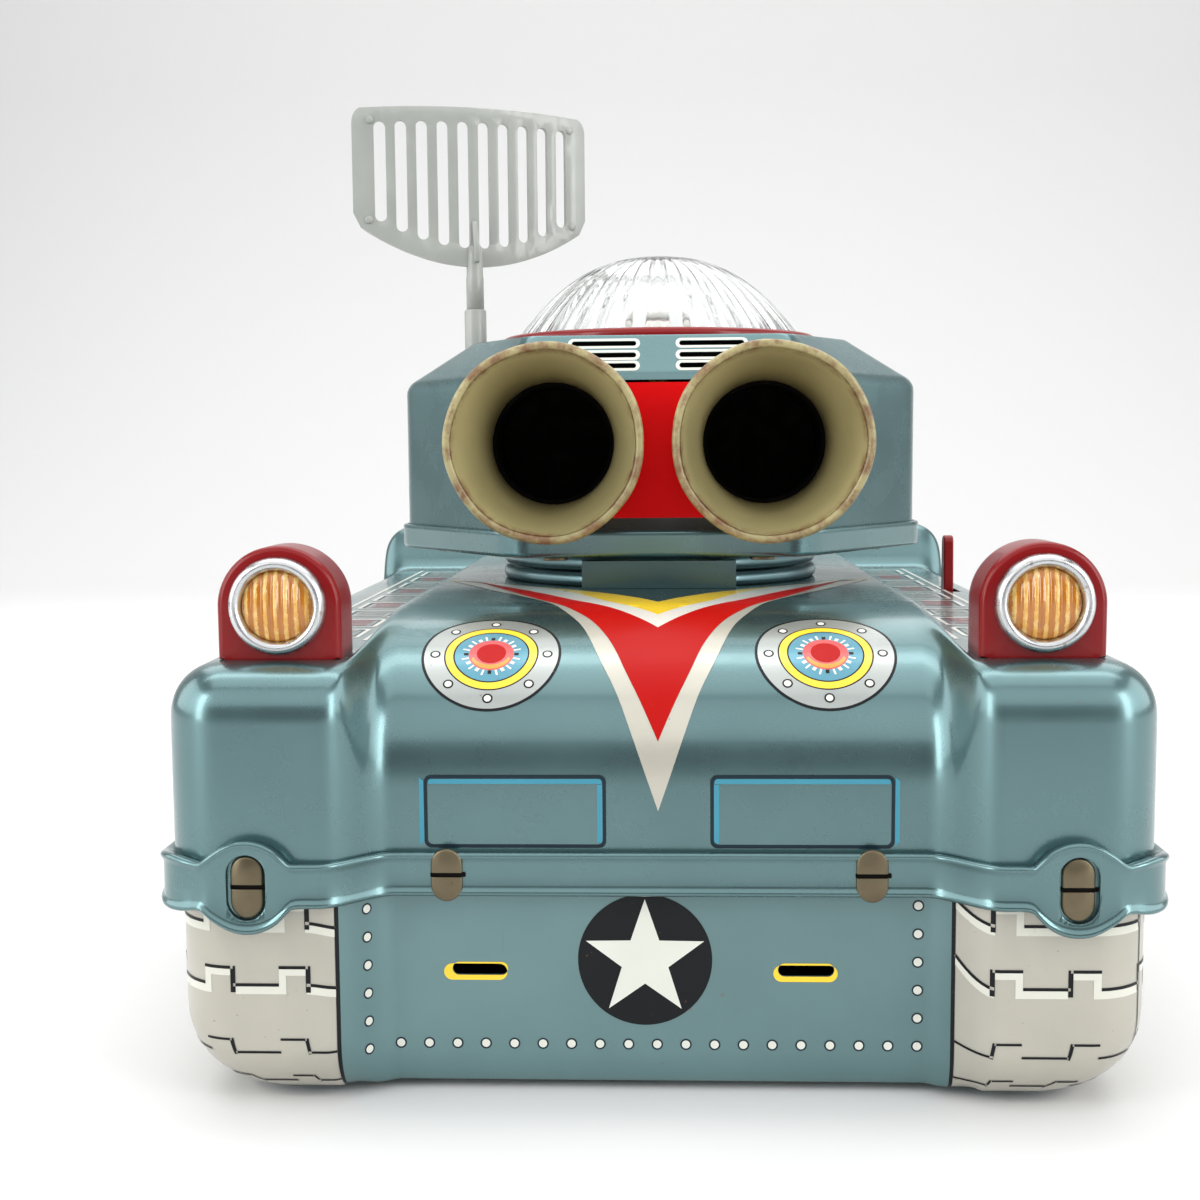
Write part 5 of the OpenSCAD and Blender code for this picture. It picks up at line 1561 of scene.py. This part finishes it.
def track_link(t, row, lay, dark, light):
    """One link of a row: a bar, the raised line outward of it, then the low line to the next bar."""
    low, top, foot, line, bar, slant = row
    lay(stroke([(t, foot), (t + slant, top + line / 2)], bar), dark)
    lay(stroke([(t + slant, top), (t + TRACK_STEP, top)], line), dark)
    lay(stroke([(t + 4.95, low), (t + TRACK_PITCH, low)], line), dark)
    if slant:
        return
    end = t + TRACK_PITCH - 0.4
    lay([(t + bar / 2, top - 1.3), (t + 3.7, top - 1.3), (t + 3.7, low - 1.5), (end, low - 1.5),
         (end, low - 0.25), (t + TRACK_STEP, low - 0.25), (t + TRACK_STEP, top - 0.25),
         (t + bar / 2, top - 0.25)], light)


def print_tracks():
    """The printed track links along the lower pressing's sides and round its corners."""
    half = _ts[-1] / 2
    dark, light = [], []
    for side, (first, drops) in TRACK_STARTS.items():
        border = abs(along_front(PRINT_DX + side * TRACK_X))
        lay = lay_for(side)
        for t in (border, half - TRACK_X):
            lay(stroke([(t, z) for z in np.linspace(BELLY_Z + 0.1, 33, 24)], 0.7), dark)
        for row, drop in zip(TRACK_ROWS, drops):
            low, _, _, line, _, slant = row
            lead = [(border + 0.3 + first * u, low + drop * (1 - u) ** 1.6)
                    for u in np.linspace(0, 1, 8)]
            lay(stroke(lead, line), dark)
            if not slant:
                lay([(t, z - 0.25) for t, z in lead][::-1] + [(t, z - 1.5) for t, z in lead], light)
            t = border + first
            while t + TRACK_PITCH < half - TRACK_X:
                track_link(t, row, lay, dark, light)
                t += TRACK_PITCH
    corner = along_front(TRACK_CORNER_X)
    dark.append(stroke([(corner, z) for z in np.linspace(6, 33, 12)], 0.3))
    printed("track_highlights", light, M["ink_cream_track"], on_lower, "hull", 1.3)
    printed("track_lines", dark, M["ink_black"], on_lower, "hull", 1.3, PRINT_LIFT * 1.8)


FENDER_RAIL_XS = (51.3, 65.2)
FENDER_FRAMES, FRAME_PITCH, FRAME_START = 9, 17, -80
# A frame's outer box: from and to along x, and its length.
FRAME_X, FRAME_LONG = (53.2, 63.4), 13.5
VENTS, VENT_PITCH = 4, 2.5


def print_fenders():
    """Rails and framed vents along both fenders; the rose lines in every other frame are a painted pinkish
    reflection.
    """
    cream, dark, red = [], [], []
    for side in (-1, 1):
        lay = lay_for(side)
        for x in FENDER_RAIL_XS:
            lay(stroke([(x, y) for y in np.linspace(-84, 74, 40)], 0.8), cream)
        for k in range(FENDER_FRAMES):
            y0 = FRAME_START + FRAME_PITCH * k
            loops = ((0, 1.0, cream), (0.8, 0.8, cream), (0.8, 0.8, dark), (1.3, 0.6, dark))
            for inset, radius, target in loops:
                lay(rounded_box(FRAME_X[0] + inset, y0 + inset, FRAME_X[1] - inset, y0 + FRAME_LONG - inset,
                                radius), target)
            for m in range(VENTS):
                # In every other frame the upper vent lines are rose: a painted pinkish reflection.
                for rise, width, target in ((3.0, 0.45, dark), (3.75, 0.6, red if k % 2 else cream)):
                    y = y0 + rise + VENT_PITCH * m
                    lay(stroke([(55.4, y), (61.2, y)], width), target)
    printed("fender_lines_cream", cream, M["ink_white"], on_top, "hull", 3)
    printed("fender_lines_dark", dark, M["ink_line"], on_top, "hull", 3)
    printed("fender_vents_pink_reflection", red, M["ink_rose"], on_top, "hull", 3)


# ---------------------------------------------------------------- smaller pieces
def make_neck():
    """The small folded block in front of the turntable."""
    low, high = box_mm("neck_block")
    neck = block("neck_bracket", low, high, M["turret"], None)
    cut(neck, [rod("bore", (0, PIVOT_Y, low[2] - 2), (0, PIVOT_Y, high[2] + 2), RING_R + 0.4,
                   segments=160)])
    soften(neck, 0.6, 3, 50)
    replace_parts(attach(neck, "hull"), "neck_block")


def make_switch():
    """The on/off lever: round tip, and a rounded root with a tail under its pivot."""
    low, high = box_mm("switch_lever")
    x, y, _ = middle_mm("switch_lever")
    pivot_z = FENDER_Z - 8
    half = (high[0] - low[0]) / 2
    tip_r, root_r = 1.7, 2.6
    outline = arc(y, high[2] - tip_r, tip_r, 0, math.pi, 20)
    outline += arc(y, pivot_z, root_r, math.pi, 1.5 * math.pi - 0.55, 8)
    outline += [(y - 1.4, low[2]), (y + 1.4, low[2])]
    outline += arc(y, pivot_z, root_r, -0.5 * math.pi + 0.55, 0, 8)
    rings = [[(x + side * half, py, pz) for py, pz in outline] for side in (-1, 1)]
    lever = loft("switch_tab", rings, M["red"], None, cap_ends=True)
    cut(lever, [rod("pin", (x - 4, y, pivot_z), (x + 4, y, pivot_z), 1.06)])
    soften(lever, 0.4, 3, 50)
    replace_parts(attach(lever, "switch"), "switch_lever")


def make_tyres():
    low, high = box_mm("drive_tyres")
    _, y, z = middle_mm("drive_tyres")
    r = (high[2] - low[2]) / 2
    width, cx = 7.0, high[0] - 3.5
    tyres = []
    for side in (-1, 1):
        tread = []
        for h in np.linspace(-width / 2, width / 2, 85):
            edge = smooth((abs(h) - 1.6) / 1.9)
            groove = 0.35 * (math.cos(2 * math.pi * h / 1.4) > 0.35) * (abs(h) < 2.9)
            tread.append((r - edge * 1.2 - groove, h))
        profile = [(r - 3.55, -width / 2)] + tread + [(r - 3.55, width / 2)]
        tyres.append(lathe("tyre", profile, (side * cx, y, z), "x", M["rubber"], None, 96))
    tyre = join("drive_tyres_grooved", tyres)
    crease(tyre, 40)
    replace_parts(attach(tyre, "drive_axle"), "drive_tyres")


def make_rear_wheels():
    low, high = box_mm("rear_wheels")
    _, y, z = middle_mm("rear_wheels")
    r = (high[2] - low[2]) / 2
    profile = [(1.3, -7.6), (3.1, -7.6), (3.4, -7.3), (3.4, -6.0), (r - 2.6, -6.0), (r - 2.2, -5.8),
               (r - 0.5, -6.0), (r, -5.5), (r, -3.4), (r - 0.5, -3.2), (r - 0.5, -2.8), (r, -2.6), (r, -0.5),
               (r - 0.5, 0), (8.4, 0), (7.5, -0.4), (7.3, -1), (4, -1), (3.2, -0.6), (2.4, -0.5), (1.3, -0.5)]
    wheels = []
    for side in (-1, 1):
        line = [(rr, side * h) for rr, h in profile]
        wheels.append(lathe("wheel", line, (side * high[0], y, z), "x", M["hub"], None, 96))
    wheel = join("rear_wheels_turned", wheels)
    crease(wheel, 40)
    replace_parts(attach(wheel, "rear_axle"), "rear_wheels")


def make_side_windows():
    low, high = box_mm("side_windows")
    plates = []
    y0, y1, z0, z1 = low[1] + 2, high[1] - 2, low[2] + 2, high[2] - 2
    rows, cols = 101, 24
    outer = high[0]
    for side in (-1, 1):
        grid_verts = []
        for layer in (0, 1):
            for i in range(rows):
                for j in range(cols):
                    py, pz = mix(low[1], high[1], j / (cols - 1)), mix(low[2], high[2], i / (rows - 1))
                    rim = smooth((min(py - y0, y1 - py) - 0.5) / 1.2)
                    rim *= smooth((min(pz - z0, z1 - pz) - 0.4) / 0.8)
                    rib = 0.5 - 0.5 * math.cos(2 * math.pi * (pz - z0) / 3.2)
                    x = outer - 0.9 + 0.85 * rim * rib if layer == 0 else outer - 1.9
                    grid_verts.append((side * x, py, pz))
        plates.append(add_mesh("window", grid_verts, plate_faces(rows, cols), M["orange"], None))
    windows = join("side_window_ribs", plates)
    crease(windows, 50)
    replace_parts(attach(windows, "turret"), "side_windows")


def make_dome_lamp():
    low, high = box_mm("dome_reflector")
    r, hole = (high[0] - low[0]) / 2, 4.95
    dish = [(hole, low[2]), (r, low[2]), (r, high[2])]
    dish += [(rr, high[2] - 0.25 * math.sin(math.pi * (rr - hole) / (r - hole)) * (i % 2))
             for i, rr in enumerate(np.linspace(r - 1, hole, 26))]
    reflector = lathe("reflector_disc", dish, PIVOT, "z", M["bezel"], "turret", 160)
    crease(reflector, 60)
    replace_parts(reflector, "dome_reflector")
    low, high = box_mm("lamp_holder")
    z0, z1 = low[2], high[2]
    cup = [(0, z0), (7.5, z0), (7.5, z0 + 0.8), (4.9, z0 + 0.8)]
    cup += [(4.9 - 0.18 * (i % 2), z) for i, z in enumerate(np.linspace(z0 + 1.4, z1 - 0.6, 22))]
    cup += [(4.75, z1 - 0.1), (4.4, z1), (3.81, z1), (3.81, z0 + 6), (0, z0 + 6)]
    holder = lathe("lamp_socket", cup, PIVOT, "z", M["brass"], "turret", 64, closed=False)
    crease(holder, 45)
    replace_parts(holder, "lamp_holder")
    low, high = box_mm("lamp_bulb")
    top, ball = high[2], 4.2
    glass = [(ball * math.sin(a), top - ball + ball * math.cos(a)) for a in np.linspace(0.0001, 2.1, 26)]
    glass += [(3.8, low[2] + 8.0), (3.8, low[2] + 0.4), (3.4, low[2]), (0, low[2])]
    bulb = lathe("bulb_envelope", glass, PIVOT, "z", M["bulb"], "turret", 64, closed=False)
    crease(bulb, 45)
    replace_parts(bulb, "lamp_bulb")


def make_turret_tabs():
    """The lugs of the base flange, bent under it."""
    lugs = []
    for low, high in islands("turret_tabs"):
        (cx, cy, _), (half_x, half_y, _) = (low + high) / 2, (high - low) / 2
        outline = arc(cx, cy, half_x, 0, FULL_TURN, 28, ry=half_y, endpoint=False)
        lugs.append(prism("tab", outline, low[2], high[2], M["tab"]))
    tabs = join("turret_lugs", lugs)
    soften(tabs, 0.14, 2, 50)
    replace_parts(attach(tabs, "turret"), "turret_tabs")


def islands(node):
    """The box of each loose island of a CAD node, in millimetres."""
    bm = bmesh.new()
    bm.from_mesh(NODES[node].data)
    bmesh.ops.remove_doubles(bm, verts=bm.verts, dist=1e-6)
    seen, boxes = set(), []
    for start in bm.verts:
        if start.index in seen:
            continue
        stack, found = [start], []
        seen.add(start.index)
        while stack:
            v = stack.pop()
            found.append(v.co.copy())
            for e in v.link_edges:
                w = e.other_vert(v)
                if w.index not in seen:
                    seen.add(w.index)
                    stack.append(w)
        arr = np.array(found) / MM
        boxes.append((arr.min(0), arr.max(0)))
    bm.free()
    return boxes


CAD_PAINT = {
    "hull_blue": "turret", "litho_lower": "panel", "red_enamel": "red", "tinplate": "tin", "tabs": "tab",
    "steel": "steel", "brass": "brass", "amber_lens": "amber", "turntable": "ring", "dark": "black",
    "nozzle_cream": "nozzle",
    "motor_case": "motor", "fibre": "fibre", "hub_plastic": "hub", "rubber": "rubber", "cell_wrap": "cell",
    "clear_dome": "dome", "reflector": "bezel", "bulb": "bulb", "radar_grey": "radar",
}


def paint_cad_nodes():
    """Paints every CAD node by its material slot."""
    slots = {part["node"]: part["material_slot"] for part in frame["record"]["subparts"]}
    for name, obj in NODES.items():
        obj.data.materials.clear()
        obj.data.materials.append(M[CAD_PAINT[slots[name]]])


# ---------------------------------------------------------------- stage
FLOOR_Z = -0.02
SWEEP_Y, SWEEP_R = 800, 500


def make_floor():
    """A pale sheet that lies flat under the toy and sweeps up behind it."""
    line = [(y, FLOOR_Z) for y in (-2600, -600, 600, SWEEP_Y)]
    line += [(SWEEP_Y + SWEEP_R * math.sin(a), SWEEP_R - SWEEP_R * math.cos(a))
             for a in np.linspace(0, math.pi / 2, 24)[1:]]
    line += [(SWEEP_Y + SWEEP_R, 2600)]
    verts = [(x, y, z) for x in (-3200, -1000, 0, 1000, 3200) for y, z in line]
    floor = add_mesh("floor", verts, grid_faces(5, len(line)), M["floor"], None)


def area_light(name, place, aim, size, power):
    """A rectangular lamp at a place, aimed at a point, in metres and watts."""
    data = bpy.data.lights.new(name, "AREA")
    data.shape = "RECTANGLE"
    data.size, data.size_y = size
    data.energy = power
    lamp = bpy.data.objects.new(name, data)
    bpy.context.scene.collection.objects.link(lamp)
    lamp.location = place
    lamp.rotation_euler = (Vector(aim) - Vector(place)).to_track_quat("-Z", "Y").to_euler()


def light_the_stage():
    world = bpy.data.worlds.new("studio")
    bpy.context.scene.world = world
    world.use_nodes = True
    background = world.node_tree.nodes["Background"]
    background.inputs["Color"].default_value = (0.80, 0.82, 0.84, 1)
    background.inputs["Strength"].default_value = 0.28
    area_light("front_box", (0.0, -0.95, 0.85), (0, -0.05, 0.06), (1.8, 0.8), 5.6)
    area_light("top_box", (0.0, -0.1, 1.0), (0, -0.1, 0.06), (1.2, 0.8), 5)
    area_light("left_strip", (-0.85, -0.7, 0.4), (0, 0, 0.06), (0.25, 0.8), 4.6)
    area_light("right_strip", (0.85, -0.66, 0.4), (0, 0, 0.06), (0.25, 0.8), 4.4)
    area_light("left_box", (-1.0, -0.1, 0.45), (0, -0.1, 0.06), (1.0, 0.7), 5)
    area_light("right_box", (1.0, -0.1, 0.45), (0, -0.1, 0.06), (1.0, 0.7), 5)
    area_light("rear_box", (0, 0.65, 0.95), (0, 0, 0.06), (1.6, 0.6), 5.5)
    area_light("sweep_wash", (0, 0.25, 1.7), (0, 1.3, 0.5), (2.6, 0.5), 13)


# The camera fitted to the photo: place in metres, lens in millimetres, turns in degrees.
CAMERA_PLACE = (0.00134, -0.35676, 0.10327)
CAMERA_LENS = 47.52
CAMERA_YAW, CAMERA_DOWN, CAMERA_ROLL = 2.389, 5.463, -0.459


def place_camera():
    data = bpy.data.cameras.new("camera")
    data.sensor_width = 36
    data.lens = CAMERA_LENS
    camera = bpy.data.objects.new("camera", data)
    bpy.context.scene.collection.objects.link(camera)
    turn = (Matrix.Rotation(math.radians(CAMERA_YAW), 4, "Z")
            @ Matrix.Rotation(math.radians(90 - CAMERA_DOWN), 4, "X")
            @ Matrix.Rotation(math.radians(CAMERA_ROLL), 4, "Z"))
    camera.matrix_world = Matrix.Translation(CAMERA_PLACE) @ turn
    bpy.context.scene.camera = camera
    bpy.context.scene.view_settings.view_transform = "Standard"


paint_cad_nodes()
make_upper_shell()
make_lower_shell()
make_band()
make_lugs()
make_headlamp(-1)
make_headlamp(1)
make_lamp_faces()
make_turntable()
make_neck()
make_switch()
make_tyres()
make_rear_wheels()
make_turret_shell()
make_turret_base()
make_turret_tabs()
make_front_panel()
make_nozzle(-1)
make_nozzle(1)
make_throats()
make_side_windows()
make_dome()
make_dome_ring()
make_dome_lamp()
make_radar()
print_chevron()
print_dials()
print_nose_panels()
print_louvre_rim_highlights()
print_star()
print_rivets()
print_tracks()
print_fenders()
make_floor()
light_the_stage()
place_camera()
